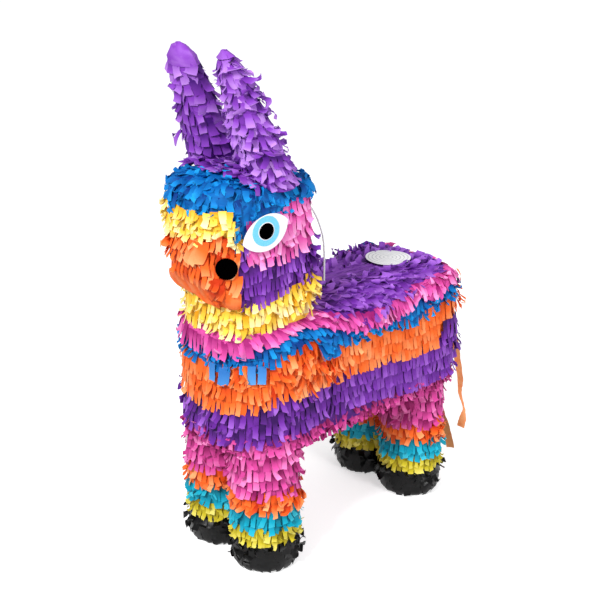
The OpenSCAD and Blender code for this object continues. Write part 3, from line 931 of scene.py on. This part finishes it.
def from_chest(u):
    """Distance round the body's walls from the middle of the chest, the same on both sides."""
    places, loop, lengths = body.outline(body.level_of(FLANK_TOP - 20))
    chest = np.argmin(loop[:-1, 1] + 0.001 * np.abs(loop[:-1, 0]))
    gone = np.interp(u % 1.0, places, lengths) - lengths[chest]
    girth = lengths[-1]
    return np.abs((gone + girth / 2) % girth - girth / 2)


def from_brow(u):
    """Degrees round the head from the middle of the face, the same on both sides."""
    return 360 * np.abs((u - BROW + 0.5) % 1.0 - 0.5)


def across_face(u):
    """Degrees round the head from the middle of the face, less than nothing on its right."""
    return 360 * (u - BROW)


def edge(walk, *points):
    """Height of an edge between two colours, from (distance round, height) pairs."""
    places, heights = zip(*points)
    return lambda u: np.interp(walk(u), places, heights)


# Round the body: distance from the middle of the chest, and height
PURPLE_LOW = edge(from_chest, (0, 155), (60, 156), (90, 163), (150, 174), (210, 172), (260, 164),
                  (300, 160))
ORANGE_LOW = edge(from_chest, (0, 193), (60, 198), (85, 210), (190, 213), (245, 210), (300, 204))
BLUE_LOW = edge(from_chest, (0, 243), (70, 247), (105, 260), (145, 261), (190, 250), (245, 247),
                (300, 243), (325, 248), (370, 259), (420, 254))
PINK_LOW = edge(from_chest, (0, 264), (50, 267), (80, 275), (140, 279), (185, 264), (216, 257),
                (250, 257), (280, 262), (300, 272), (328, 262), (363, 275), (420, 270))
SADDLE_LOW = edge(from_chest, (0, 295), (145, 295), (165, 288), (182, 276), (216, 265), (275, 268),
                  (325, 282), (420, 284))
# How neatly the tabs lie, up to 1
FLANK_CALM = edge(from_chest, (150, 0), (215, 0.9), (330, 1.0), (350, 0.5), (420, 0))
CHEST_CALM = edge(from_chest, (0, 0.5), (50, 0.6), (80, 0))

# Round the head: degrees from the middle of the face, and height
COLLAR_LOW = edge(from_brow, (0, 285), (20, 281), (43, 279), (60, 284), (85, 290), (110, 295),
                  (130, 299))
CHEEK_PURPLE_LOW = edge(from_brow, (40, 313), (60, 315), (80, 320), (110, 325), (125, 332))
CHEEK_PINK_LOW = edge(from_brow, (45, 357), (60, 358), (100, 361), (125, 366))
CROWN_LOW = edge(from_brow, (0, 410), (25, 412), (38, 418), (42, 413), (46, 396), (52, 384), (55, 392),
                 (58, 404), (88, 407), (102, 411), (112, 419), (122, 425))
NOSE_LOW = edge(from_brow, (0, 387), (18, 386), (28, 394), (35, 398), (41, 388), (50, 377))
MUZZLE_UNDER = edge(from_brow, (0, 350), (20, 348), (40, 338), (50, 334))
MUZZLE_FOOT = edge(across_face, (-48, 336), (-22, 325), (8, 317), (48, 319))
EAR_LOW = edge(from_brow, (0, 447), (35, 447), (46, 444), (55, 438), (64, 433), (90, 437), (108, 442))
# Degrees round the head where the muzzle's paper, the nose's, the pink cheek's and the ear's end
CREASE = 48.0
NOSE_END = 44.0
PINK_FROM = 54.0
EAR_BEHIND = 112.0


def between(low, high):
    """A keep for what lies between two angles from the middle of the face."""
    return lambda p, u: (from_brow(u) >= low) & (from_brow(u) < high)


def outside_neck(points, margin):
    """True for points clear of the neck, in plan."""
    return outside_plan(points[..., 0], points[..., 1], NECK_FRONT, NECK_REAR, NECK_HALF,
                        NECK_FRONT_R, NECK_REAR_R) > margin


FLAP_R = spot("fill_flap")[1]


def outside_flap(points, margin):
    return np.hypot(points[..., 0], points[..., 1] - LABEL_MID[1]) > FLAP_R + margin


# ---- Bands round the body ----

PATCH_TOP = 226.0
PATCH_X, PATCH_Y = 56, 124


def on_patch(points):
    """The stretch at the rear left corner where purple paper climbs over the orange band."""
    return (points[..., 0] > PATCH_X) & (points[..., 1] > PATCH_Y)


def purple_band():
    paper = Paper(1, body)
    cut = Cut(pitch=6.6, length=24, mess=1.0, lift=0.14, fold=0.45, fullness=0.9)
    paper.backing(body.line(ORANGE_LOW, -TUCK), body.level_of(BODY_LOW[2] - 2))
    paper.fringe(body.rows(PURPLE_LOW, ORANGE_LOW, 15), cut, calm=lambda u: 0.8 * FLANK_CALM(u))
    paper.fringe(body.level_of([PATCH_TOP - 13, PATCH_TOP - 24]), replace(cut, root=5.0, mess=0.9),
                 keep=lambda p, u: on_patch(p))
    paper.tuft((78, 168, 198), 16, (8, 6), 18, 7.5, 0.8)
    paper.build("purple_band_paper", "purple", "purple_band")


def orange_band():
    paper = Paper(2, body)
    paper.backing(body.line(BLUE_LOW, -TUCK), body.line(ORANGE_LOW, -3), height=2.4, tone=0.45)
    paper.fringe(body.rows(ORANGE_LOW, BLUE_LOW, 16),
                 Cut(pitch=6.0, length=25, mess=0.9, lift=0.13, fold=0.35),
                 keep=lambda p, u: ~on_patch(p) | (p[..., 2] > PATCH_TOP - 4),
                 calm=lambda u: np.maximum(FLANK_CALM(u), CHEST_CALM(u)))
    # A tangle at the near corner of the chest, and curls over the rump
    paper.tuft((84, -92, 240), 26, (13, 10), 20, 6.0)
    paper.tuft((84, -60, 228), 14, (12, 7), 18, 6.0, 0.8)
    paper.tuft((60, -155, 240), 10, (12, 8), 18, 5.0, 0.7)
    paper.tuft((70, 172, 250), 9, (7, 9), 24, 4.0, 1.5, reach=16)
    paper.build("orange_band_paper", "orange", "orange_band")


def blue_band():
    paper = Paper(3, body)
    paper.band(PINK_LOW, BLUE_LOW, 7.5,
               Cut(pitch=6.2, length=14, mess=1.4, lift=0.2, fold=0.8, uncut=0.15))
    paper.tuft((84, -62, 257), 16, (14, 4), 16, 7.5, 0.6)
    paper.tuft((-66, 150, 276), 9, (12, 5), 16, 6.5, 1.0, reach=15, root=6.0)
    paper.build("blue_band_paper", "blue", "blue_band")

    paper = Paper(14, body)
    for x, y, z, lean in ((22, -186, 254, 0.2), (35, -184, 252, -0.04), (42, -181, 253, -0.04),
                          (65, -159, 257, -0.04), (72, -150, 258, -0.04)):
        paper.loose_tab((x, y, z), 20, 7.6, lean, root=7.5, tone=0.4)
    paper.build("pale_blue_tabs", "pale_blue")


def pink_band():
    paper = Paper(4, body)
    paper.band(SADDLE_LOW, PINK_LOW, 8,
               Cut(pitch=6.4, length=16, mess=1.0, lift=0.14, fold=0.5, uncut=0.2, root=5.0),
               keep=lambda p, u: outside_neck(p, -6), height=5.0, under=0.35)
    paper.build("pink_band_paper", "pink", "pink_band")


def saddle():
    paper = Paper(5, body)
    paper.backing(1.0, body.line(SADDLE_LOW), height=4.0, tone=0.62, crumple=0.8, pitch=7.0,
                  keep=lambda p, u: outside_neck(p, 1) & outside_flap(p, 1.5))
    paper.fringe(body.stack(SADDLE_LOW, 9.5, 9),
                 Cut(pitch=10.5, length=17, mess=1.8, lift=0.08, fold=1.3, root=4.2, stray=0.09, reach=12),
                 keep=lambda p, u: outside_neck(p, 3) & outside_flap(p, 2), tone=0.8)
    crumpled_strip(paper, 15.0)
    for y, size in ((-8, 13), (14, 17), (38, 15), (92, 13), (118, 15), (142, 12)):
        paper.tuft((-50, y, 284), 5, (7, 5), size, 7, 1.5, reach=17, root=6.0, lean=2.8)
    paper.build("saddle_paper", "purple", "saddle_fringe")


def crumpled_strip(paper, half):
    """Wrinkled paper along the middle of the back, where the rows from both sides meet."""
    stretches = ((NECK_REAR + 9, LABEL_MID[1] - FLAP_R - 2),
                 (LABEL_MID[1] + FLAP_R + 2, BODY_HIGH[1] - 4))
    hole = np.abs(np.array(CORD_ROUTE[0][:2])) / MM
    for number, (y0, y1) in enumerate(stretches):
        y = np.linspace(y0, y1, max(int((y1 - y0) / 4), 3))
        xx, yy = np.meshgrid(np.linspace(-half, half, 16), y)
        wrinkles = 0.7 * np.sin(1.3 * xx + 0.05 * yy) + 0.5 * np.sin(0.6 * xx - 0.11 * yy + number)
        ragged = paper.rng.normal(0, 1.6, len(y))[:, None] * (np.abs(xx) > half - 1)
        zz = (body_top(xx, yy, 0) + 4.6 + wrinkles * (1 - (xx / half) ** 4)
              + paper.rng.normal(0, 0.2, xx.shape))
        clear = np.hypot(np.abs(xx) - hole[0], yy + hole[1]) > CORD_HOLE_R
        quads = clear[:-1, :-1] & clear[1:, 1:] & clear[:-1, 1:] & clear[1:, :-1]
        grid = np.stack([xx + ragged, yy, zz], axis=-1)
        # The tone follows the wrinkles: painted light on their crests and painted shade in their hollows
        paper.add(grid[None, ::-1], 0.66 + 0.12 * wrinkles[None, ::-1], quads[None, ::-1])


def belly_cover():
    """Pink paper under the body, with tabs that hang below the purple band's edge. Its low tones are
    painted shade under the belly.
    """
    paper = Paper(6, belly)
    paper.backing(1.0, BODY_HALF - 1, height=1.0, tone=0.15)
    paper.fringe(np.arange(BODY_HALF + 2, 16, -13.0)[::-1],
                 Cut(pitch=7.0, length=22, mess=1.1, lift=0.3, root=1.0, reach=12), tone=0.1)
    paper.sleeve = body
    paper.fringe(body.level_of([161, 154, 149]),
                 Cut(pitch=6.0, length=17, mess=1.1, lift=0.1, root=0.8, reach=6, fold=0.5), tone=0.25)
    paper.build("belly_paper", "rose")


# ---- Legs ----

# Colour, tissue, distance between rows, and the length, pitch and mess of tabs
LEG_BANDS = [("pink", "rose", 13.0, 19.0, 6.2, 0.8), ("orange", "orange", 10.0, 19.0, 6.4, 1.1),
             ("turquoise", "turquoise", 11.0, 19.0, 6.4, 1.1), ("yellow", "lemon", 7.5, 14.0, 6.4, 1.1)]


def leg(place, side_name, number):
    side = SIDES[side_name]
    tube = f"leg_tube_{place}_{side_name}"
    sleeve, middle = leg_sleeve(tube), spot(tube)[0]
    for index, (band, tissue, gap, length, pitch, mess) in enumerate(LEG_BANDS):
        paper = Paper(20 + 10 * number + index, sleeve)
        node = f"leg_{band}_{place}_{side_name}"
        low, high = (corner[2] for corner in box(node))
        paper.backing(sleeve.level_of(high + 2), sleeve.level_of(low + 2))
        paper.fringe(sleeve.rows(everywhere(low), everywhere(high), gap),
                     Cut(pitch=pitch, length=length, mess=mess, lift=0.15, wobble=3.0, fold=0.4))
        if band == "orange":
            outer = (middle[0] + side * 40, middle[1] + 8, (low + high) / 2 + 3)
            paper.tuft(outer, 12, (7, 5), 14, 8, 0.9, reach=12)
        if band == "pink" and place == "rear":
            front = (middle[0] + side * 10, middle[1] - 40, 128)
            paper.tuft(front, 22, (12, 14), 22, 5.5, reach=15, tone=0.45)
        paper.build(f"{node}_paper", tissue, node, side=side)


def hoof(place, side_name, number):
    node = f"hoof_{place}_{side_name}"
    paper = Paper(80 + number, hoof_sleeve(node))
    paper.backing(0.0, (paper.sleeve.levels - 1) * STEP, height=0.6, crumple=0.5, pitch=8.0, tone=0.35)
    facets = Cut(pitch=11, length=13, lift=0.03, root=0.6, reach=2.5, stray=0.0, fold=0.2, uncut=0.5)
    ragged = Cut(pitch=8, length=12, mess=1.6, lift=0.5, root=0.8, reach=9, stray=0.4, fold=0.7,
                 uncut=0.0)
    paper.fringe([14, 22, 30, 38], facets, tone=0.45)
    paper.fringe([9, 13], ragged, tone=0.5)
    paper.fringe([26], replace(ragged, pitch=9, reach=7, stray=0.3),
                 keep=lambda p, u: np.sin(TURN * 3 * u + number) > 0.3)
    paper.build(f"{node}_paper", "black", node, side=SIDES[side_name])


# ---- Eyes and nostrils: where they are ----

EYE_MID = np.array([63.7, -136.8, 399.7])
EYE_LONG = np.array([4.4, 26.4, 9.0])
EYE_FACING = np.cross(EYE_LONG, (1.5, 4.3, 20.8))
EYE_FACING /= np.linalg.norm(EYE_FACING)
EYE_HALF_HEIGHT = 18.9
EYE_SHORT = np.cross(EYE_FACING, EYE_LONG / np.linalg.norm(EYE_LONG)) * EYE_HALF_HEIGHT
EYE_CLEAR = (30, 20)  # half length and half height of what the eye card may press on
EYE_BULGE = 2.3
EYE_STAND = 3.2
EYE_UP = 2.2  # the iris sits this far above the middle of the eye
INK_STEP = 0.25
IRIS_R, RING_R, PUPIL_R = 15.9, 9.5, 8.6
NOSTRIL_MID, NOSTRIL_R = spot("nostril_left", 2)
NOSTRIL_FACING = math.radians(45)
NOSTRIL_INSET = 0.9  # the disc is this much smaller than its CAD solid
NOSTRIL_STAND = {"left": 2.4, "right": -2.4}
# How high tabs may stand under an eye, and under the left and the right nostril
UNDER_EYE, UNDER_LEFT, UNDER_RIGHT = 2.6, 6.0, 2.6


def eye_offset(points):
    """Less than 1 inside the outline of the eye card."""
    y, z = points[..., 1] - EYE_MID[1], points[..., 2] - EYE_MID[2]
    tilt = math.atan2(EYE_LONG[2], EYE_LONG[1])
    run, rise = y * math.cos(tilt) + z * math.sin(tilt), z * math.cos(tilt) - y * math.sin(tilt)
    return np.hypot(run / EYE_CLEAR[0], rise / EYE_CLEAR[1])


def headroom(points):
    """How high tabs may stand: little under an eye or a nostril, and freely elsewhere."""
    mirrored = np.concatenate([np.abs(points[..., :1]), points[..., 1:]], axis=-1)
    near = np.linalg.norm(mirrored - NOSTRIL_MID, axis=-1) < NOSTRIL_R + 8
    free = np.where(near, np.where(points[..., 0] > 0, UNDER_LEFT, UNDER_RIGHT), np.inf)
    return np.where(eye_offset(points) < 1.12, UNDER_EYE, free)


# ---- Head ----

def above_back(depth):
    """A keep for what isn't buried deeper than this in the back."""
    return lambda p, u: p[..., 2] > body_top(p[..., 0], p[..., 1], 0) - depth


COLLAR_TOP = 322.0


def collar_top(u):
    under_cheek = np.where(from_brow(u) < CREASE + 4, MUZZLE_FOOT(u) + 3, COLLAR_TOP)
    return np.maximum(CHEEK_PURPLE_LOW(u), under_cheek)


def collar():
    paper = Paper(8, head)
    paper.backing(head.line(collar_top, -TUCK), head.level_of(268), height=1.6, tone=0.4,
                  keep=above_back(3))
    paper.fringe(head.rows(COLLAR_LOW, collar_top, 11),
                 Cut(pitch=6.2, length=18, mess=1.0, lift=0.16, fold=0.45, uncut=0.2),
                 keep=above_back(8), tone=0.68)
    paper.tuft((63, -70, 318), 26, (9, 9), 22, 4.5, 1.1, reach=15, tone=0.5)
    paper.tuft((-63, -70, 318), 20, (9, 9), 22, 4.5, 1.0, reach=14, tone=0.5)
    paper.build("collar_paper", "yellow", "collar_yellow")


def cheeks():
    paper = Paper(9, head)
    paper.backing(head.line(CHEEK_PINK_LOW, -5), head.line(CHEEK_PURPLE_LOW, -5),
                  keep=between(CREASE - 2, 181))
    paper.backing(head.level_of(386), head.line(CHEEK_PINK_LOW), keep=between(CREASE - 3, PINK_FROM + 2))
    paper.fringe(head.rows(CHEEK_PURPLE_LOW, CHEEK_PINK_LOW, 14),
                 Cut(pitch=5.2, length=22, fullness=0.84, lift=0.1, fold=0.15, uncut=0.45),
                 keep=between(CREASE - 2, 181), tone=0.48)
    paper.fringe(head.level_of([371, 360]), Cut(pitch=6.0, length=16, mess=0.4),
                 keep=between(CREASE - 1, PINK_FROM))
    paper.tuft((60, -66, 352), 12, (6, 10), 18, 4.5, 1.1, reach=14, tone=0.5)
    paper.build("cheek_purple_paper", "purple", "cheek_purple")

    paper = Paper(10, head)
    paper.band(CROWN_LOW, CHEEK_PINK_LOW, 13, Cut(pitch=6.2, length=20, mess=0.7, lift=0.13),
               keep=between(PINK_FROM, 181), headroom=headroom, tone=0.72)
    paper.build("cheek_pink_paper", "pink", "cheek_pink")


def muzzle():
    """Narrow slanting tabs above, and below them a smooth folded sheet that slopes in to the chin."""
    paper = Paper(11, head)
    face = between(0, CREASE)
    paper.backing(head.line(NOSE_LOW, -TUCK), head.line(MUZZLE_FOOT, -2), keep=face, tone=0.4, height=3.6)
    paper.fringe(head.rows(MUZZLE_UNDER, NOSE_LOW, 14),
                 Cut(pitch=5.4, mess=0.6, lean=-0.32, lift=0.12, reach=11, fullness=0.8, uncut=0.2,
                     root=5.6),
                 keep=lambda p, u: face(p, u) & ((p[..., 0] > -18) | (p[..., 2] > 352)), headroom=headroom)
    folded_sheet(paper, lambda u: MUZZLE_UNDER(u) + 3, MUZZLE_FOOT, 6.4)
    paper.tuft((34, -176, 336), 16, (6, 7), 13, 7.0, 0.55, tone=0.35, reach=10, lean=-0.3, root=6.5)
    paper.tuft((-33, -188, 380), 5, (4, 4), 14, 5, 1.2, reach=15, root=6.5)
    for x, y, lean in ((14, -191, -0.6), (22, -191, -0.5), (30, -189, -0.35)):
        paper.loose_tab((x, y, 392), 25, 11, lean, root=9.0, tone=0.7)
    paper.loose_tab((30, -189, 376), 20, 8, 0.15, root=8.0, tone=0.7)
    paper.build("muzzle_paper", "orange", "muzzle_orange")


def folded_sheet(paper, high, low, height):
    """A smooth sheet across the underside of the muzzle, with long shallow folds down it."""
    u = BROW + np.linspace(-CREASE, CREASE, 33) / 360
    share = np.linspace(0, 1, 8)[:, None]
    levels = head.level_of(high(u) * (1 - share) + low(u) * share)
    uu = np.broadcast_to(u, levels.shape)
    folds = (0.9 * np.sin(22 * TURN * u + 1.5 * share) * np.sin(math.pi * share)
             + paper.rng.normal(0, 0.2, levels.shape))
    # The tone follows the folds: painted light on their ridges and painted shade in their troughs
    paper.add(head.off(uu, levels, height + folds)[None], 0.55 + 0.12 * folds[None])


def nose():
    paper = Paper(12, head)
    in_face = between(0, NOSE_END + 7)
    paper.band(CROWN_LOW, NOSE_LOW, 9,
               Cut(pitch=6.4, length=15, mess=1.1, lift=0.2, fold=0.5, uncut=0.2, reach=12, root=6.4),
               keep=lambda p, u: in_face(p, u) & (from_brow(u) < NOSE_END + (412 - p[..., 2]) * 0.22),
               height=4.0, under=0.45, hem=4, headroom=headroom, tone=0.68)
    paper.build("nose_paper", "yellow", "nose_yellow")


def crown():
    paper = Paper(13, head)
    paper.backing(1.0, head.line(CROWN_LOW, -3), crumple=0.5, tone=0.3)
    paper.fringe(head.stack(CROWN_LOW, 9.0, 13),
                 Cut(pitch=7.2, length=15, mess=1.8, lift=0.05, fold=1.0, reach=7, root=1.8, uncut=0.15,
                     stray=0.07), headroom=headroom)
    paper.tuft((53, -167, 398), 12, (3, 8), 11, 5.0, 0.8, reach=5, root=2.2)
    paper.tuft((-30, -182, 425), 14, (14, 8), 14, 6.5, 1.0, reach=8)
    paper.tuft((62, -70, 436), 14, (10, 8), 14, 6.5, 1.0, reach=8)
    paper.build("crown_paper", "blue", "crown_blue")


# ---- Ears ----

# The left ear's tabs are short, pale and untidy, and the right ear's long, deep and neat
EAR_CUTS = {
    "left": Cut(pitch=6.2, length=15, mess=1.3, lift=0.12, fold=0.6, uncut=0.15, reach=9, root=3.0),
    "right": Cut(pitch=8.2, length=18, mess=0.7, lift=0.12, fold=0.3, uncut=0.3, reach=9, root=3.0),
}
# How far the smooth cap comes down from the tip, the distance between rows, and their tone
EAR_ROWS = {"left": (7.0, 9.0, 0.8), "right": (24.0, 11.5, 0.5)}
CAP_HEIGHT = 5.0


def close_tip(paper, height, tone):
    """A small round of paper over the open top of the sleeve."""
    u = np.linspace(0, 1, 25)
    rim = paper.sleeve.off(u, np.zeros(len(u)), height)
    middle = rim[:-1].mean(axis=0)
    share = np.linspace(0.02, 1.15, 4)[:, None, None]
    paper.add((middle + (rim - middle) * share)[None], tone)


def ear(side_name, number):
    side, sleeve = SIDES[side_name], ear_sleeve(side_name)
    paper = Paper(60 + number, sleeve)
    bottom = (sleeve.levels - 2) * STEP
    cap, gap, tone = EAR_ROWS[side_name]
    paper.backing(0.0, bottom, tone=0.4, height=2.4)
    paper.backing(0.0, cap, tone=0.6, height=CAP_HEIGHT, crumple=0.5, pitch=6.0)
    close_tip(paper, CAP_HEIGHT, 0.6)
    paper.fringe(np.arange(cap + 8, bottom, gap), EAR_CUTS[side_name], tone=tone,
                 keep=lambda p, u: outside_head(p[..., 0], p[..., 1], p[..., 2] + 2, FRINGE_DEPTH - 2) > 0)
    # The ear's paper spreads out over the crown round its foot
    paper.sleeve = head
    paper.fringe(head.stack(EAR_LOW, 8.0, 5),
                 Cut(pitch=7.0, length=17, mess=1.1, lift=0.12, fold=0.5, uncut=0.3, reach=12, root=5.5),
                 keep=lambda p, u: (side * p[..., 0] > 0) & (from_brow(u) < EAR_BEHIND), tone=0.5)
    paper.sleeve = sleeve
    for z in (478, 500, 522, 545):
        paper.tuft((side * 62, -130, z), 3, (7, 6), 17, 5, 1.6, reach=15)
    paper.build(f"ear_{side_name}_paper", "violet", f"ear_fringe_{side_name}")


# ---- Discs: eyes, nostrils, flap and label ----

def polar(radii, count):
    """Offsets of the points of a disc along its two axes, by radius and by angle."""
    angle = np.linspace(0, TURN, count)
    return radii * np.cos(angle), radii * np.sin(angle)


def almond(angle):
    """Distance from the middle of the eye to its outline."""
    a, b = float(np.linalg.norm(EYE_LONG)), float(np.linalg.norm(EYE_SHORT))
    r = (a * a + b * b) / (2 * b)
    # Each edge is an arc of radius r whose middle is r - b off the long axis
    drop = (r - b) * np.abs(np.sin(angle))
    return -drop + np.sqrt(drop ** 2 + r * r - (r - b) ** 2)


def print_on_eye(name, side, outline, finish, layer=0, node=None, up=0.0):
    """A thin layer of the eye card, which bends gently round the cheek."""
    radii = outline(np.linspace(0, TURN, 73))[None] * np.linspace(0.02, 1, 9)[:, None]
    x, y = polar(radii, 73)
    run = x / np.linalg.norm(EYE_LONG)
    rise = (y + up) / np.linalg.norm(EYE_SHORT)
    points = (EYE_MID + EYE_LONG * run[..., None] + EYE_SHORT * rise[..., None]
              + EYE_FACING * (EYE_STAND + INK_STEP * layer - EYE_BULGE * run ** 2)[..., None])
    points[..., 0] *= side
    paper = Paper()
    paper.add(points[None, :, ::-side], 0.5)
    paper.build(name, finish, node, thickness=CARD_T)


def eyes():
    for side_name, side in SIDES.items():
        print_on_eye(f"eye_card_{side_name}_print", side, almond, "eye_white",
                     node=f"eye_card_{side_name}")
        discs = (("iris", IRIS_R, "eye_blue"), ("ring", RING_R, "eye_white"),
                 ("pupil", PUPIL_R, "eye_black"))
        for layer, (part, radius, finish) in enumerate(discs, 1):
            print_on_eye(f"eye_{part}_{side_name}", side, lambda angle: np.full_like(angle, radius),
                         finish, layer, up=EYE_UP)


def nostrils():
    for side_name, side in SIDES.items():
        middle, radius = spot(f"nostril_{side_name}", 2)
        outward = np.array([side * math.cos(NOSTRIL_FACING), -math.sin(NOSTRIL_FACING), 0])
        along = np.array([side * math.sin(NOSTRIL_FACING), math.cos(NOSTRIL_FACING), 0])
        x, y = polar(np.linspace(0.02, 1, 7)[:, None] * (radius - NOSTRIL_INSET), 49)
        inside = np.array([0.0, HEAD_MID_Y, middle[2]])
        origin = (inside + along * ((middle - inside) @ along) + along * x[..., None]
                  + np.array([0, 0, 1.0]) * y[..., None])
        grow = FRINGE_DEPTH + NOSTRIL_STAND[side_name]
        points = cast(origin, np.broadcast_to(outward, origin.shape),
                      lambda a, b, c: outside_head(a, b, c, grow))
        paper = Paper()
        paper.add(points[None, :, ::side], 0.2)
        paper.build(f"nostril_{side_name}_disc", "eye_black", f"nostril_{side_name}", thickness=0.8)


def flap():
    paper = Paper(90)
    x, y = polar(np.linspace(1, FLAP_R - 0.4, 9)[:, None], 41)
    z = box("flap_fringe")[0][2] + 3.6 + paper.rng.normal(0, 0.5, x.shape)
    z[:, -1] = z[:, 0]
    paper.add(np.stack([x, LABEL_MID[1] + y, z], axis=-1)[None], 0.4)
    paper.build("flap_paper", "purple", "flap_fringe", FLAP, thickness=1.2)

    paper = Paper()
    radius = np.linspace(0.5, LABEL_R, 12)[:, None]
    x, y = polar(radius, 41)
    edge_only = np.clip((radius / LABEL_R - 0.75) * 4, 0, 1)
    lifted = edge_only * np.sin(2 * np.linspace(0, TURN, 41) + 0.7) * 0.5
    paper.add(np.stack([x, LABEL_MID[1] + y, LABEL_TOP + lifted], axis=-1)[None], 0.5)
    paper.build("label_disc", "label_paper", "flap_label", FLAP, thickness=CARD_T)


# ---- Tail streamers ----

STREAMERS = 12
# The streamer that swings out past the near side, narrow where it twists, and a wide one behind the
# leg: points, widths, turns away from flat to the rump, and tone
OUTER_STREAMERS = [
    ([(14, 186, 248), (30, 188, 228), (44, 188, 206), (54, 188, 182), (57, 190, 158), (62, 192, 134),
      (58, 196, 112), (63, 201, 92), (62, 201, 76), (60, 200, 62)],
     [8, 9, 9, 9, 8, 7, 5, 2.5, 9, 10], [0, 0.2, 0.4, 0.5, 0.9, 0.6, 1.2, 1.6, 0.6, 0.3], 0.9),
    ([(4, 187, 246), (6, 190, 190), (12, 194, 120), (26, 196, 80), (38, 197, 54), (46, 199, 27)],
     [8, 9, 10, 13, 14, 12], [0, 0.3, 0.1, -0.1, 0.1, 0.2], 1.0),
]


def ribbon(paper, spine, widths, turns, tone):
    """A crepe ribbon along a spine, flat to the rump where its turn is 0."""
    spine = np.array(spine, float)
    fine = np.linspace(0, 1, 5 * len(spine))

    def along_it(values):
        return np.interp(fine, np.linspace(0, 1, len(values)), values)

    line = np.column_stack([along_it(spine[:, k]) for k in range(3)])
    for _ in range(3):
        line[1:-1] = (line[:-2] + 2 * line[1:-1] + line[2:]) / 4
    along = unit(np.gradient(line, axis=0))
    side = unit(np.cross(along, np.array([0.0, 1.0, 0.0])))
    turn = along_it(turns)[:, None]
    across = side * np.cos(turn) + np.cross(side, along) * np.sin(turn)
    x = np.linspace(-0.5, 0.5, 4)
    grid = line[:, None] + across[:, None] * (x[None, :] * along_it(widths)[:, None])[..., None]
    grid += paper.rng.normal(0, 0.25, grid.shape)
    paper.add(grid[None], tone + paper.rng.normal(0, 0.08, grid.shape[:2])[None])


def tail():
    paper = Paper(95)
    rng, middle_y, top = paper.rng, spot("tail_streamers")[0][1], box("tail_streamers")[1][2]
    for index in range(STREAMERS):
        share = index / (STREAMERS - 1) * 2 - 1
        end_x = 26 * share - 10 + rng.normal(0, 4)
        depth = middle_y + rng.uniform(-2, 4)
        length = rng.uniform(140, 186)
        spine = [(10 * share + (end_x - 10 * share) * t ** 1.3 + 3 * math.sin(5 * t + index),
                  depth + 2.5 * math.sin(7 * t + 2 * index) * t, top - length * t)
                 for t in np.linspace(0, 1, 9)]
        ribbon(paper, spine, [9, 9], 0.9 * np.sin(np.linspace(0, 6, 9) + index), 0.5)
    for streamer in OUTER_STREAMERS:
        ribbon(paper, *streamer)
    paper.build("tail_paper", "orange", "tail_streamers", TAIL)


# ---- What is left showing of the CAD ----

def paint_frame():
    finishes = {"anchor_bar": "anchor_wood", "cord_knots": "white_cord", "tail_tab": "orange"}
    brown = ["body_wall", "back_panel", "belly_panel", "neck_wall", "crown_panel", "muzzle_shell",
             "ear_core_left", "ear_core_right", "fill_flap"]
    brown += [f"leg_tube_{place}_{side}" for place in ("front", "rear") for side in SIDES]
    for name in [*brown, *finishes]:
        mesh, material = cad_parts[name].data, materials[finishes.get(name, "card")]
        if not mesh.materials:
            mesh.materials.append(material)
        for index in range(len(mesh.materials)):
            mesh.materials[index] = material


# ---- Studio ----

FLOOR_HALF = 30.0
FLOOR_GLOW = 0.52
SKY_STRENGTH = 0.56
STUDIO_MIDDLE = (0.0, 0.0, 0.28)
# Place, size and power of each light
LIGHTS = {"key": ((0.5, -1.7, 1.7), 0.5, 41), "fill": ((2.0, -0.1, 1.1), 0.8, 19)}
WHITE = (1.0, 1.0, 1.0, 1.0)


def make_floor():
    """A pale floor. It throws no light of its own up at the underside."""
    mesh = bpy.data.meshes.new("floor")
    corners = [(-1, -1), (1, -1), (1, 1), (-1, 1)]
    mesh.from_pydata([(x * FLOOR_HALF, y * FLOOR_HALF, 0) for x, y in corners], [], [(0, 1, 2, 3)])
    floor = in_scene("floor", mesh)
    nodes = Nodes("floor", roughness=0.9, specular=0.1)
    nodes.colour(nodes.noise(scale=3.0, detail=2.0), (0.3, "#f6f6f7"), (0.7, "#fbfbfc"))
    nodes.shader.inputs["Emission Color"].default_value = WHITE
    nodes.shader.inputs["Emission Strength"].default_value = FLOOR_GLOW
    mesh.materials.append(nodes.material)
    floor.visible_diffuse = False
    floor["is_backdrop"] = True


def make_studio():
    make_floor()
    world = bpy.data.worlds.new("studio")
    bpy.context.scene.world = world
    world.use_nodes = True
    sky = world.node_tree.nodes["Background"]
    sky.inputs["Color"].default_value = WHITE
    sky.inputs["Strength"].default_value = SKY_STRENGTH
    for name, (place, size, power) in LIGHTS.items():
        data = bpy.data.lights.new(name, "AREA")
        data.shape, data.size, data.energy = "DISK", size, power
        aim(in_scene(name, data), place, STUDIO_MIDDLE)
    bpy.context.scene.view_settings.view_transform = "Standard"


for make in (purple_band, orange_band, blue_band, pink_band, saddle, belly_cover):
    make()
for number, (place, side_name) in enumerate((p, s) for p in ("front", "rear") for s in SIDES):
    leg(place, side_name, number)
    hoof(place, side_name, number)
for make in (collar, cheeks, muzzle, nose, crown):
    make()
for number, side_name in enumerate(SIDES):
    ear(side_name, number)
for make in (eyes, nostrils, flap, tail, paint_frame, make_studio):
    make()

pair = [[[float(c) for c in corner] for corner in bounds] for bounds in (cad_bounds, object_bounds())]
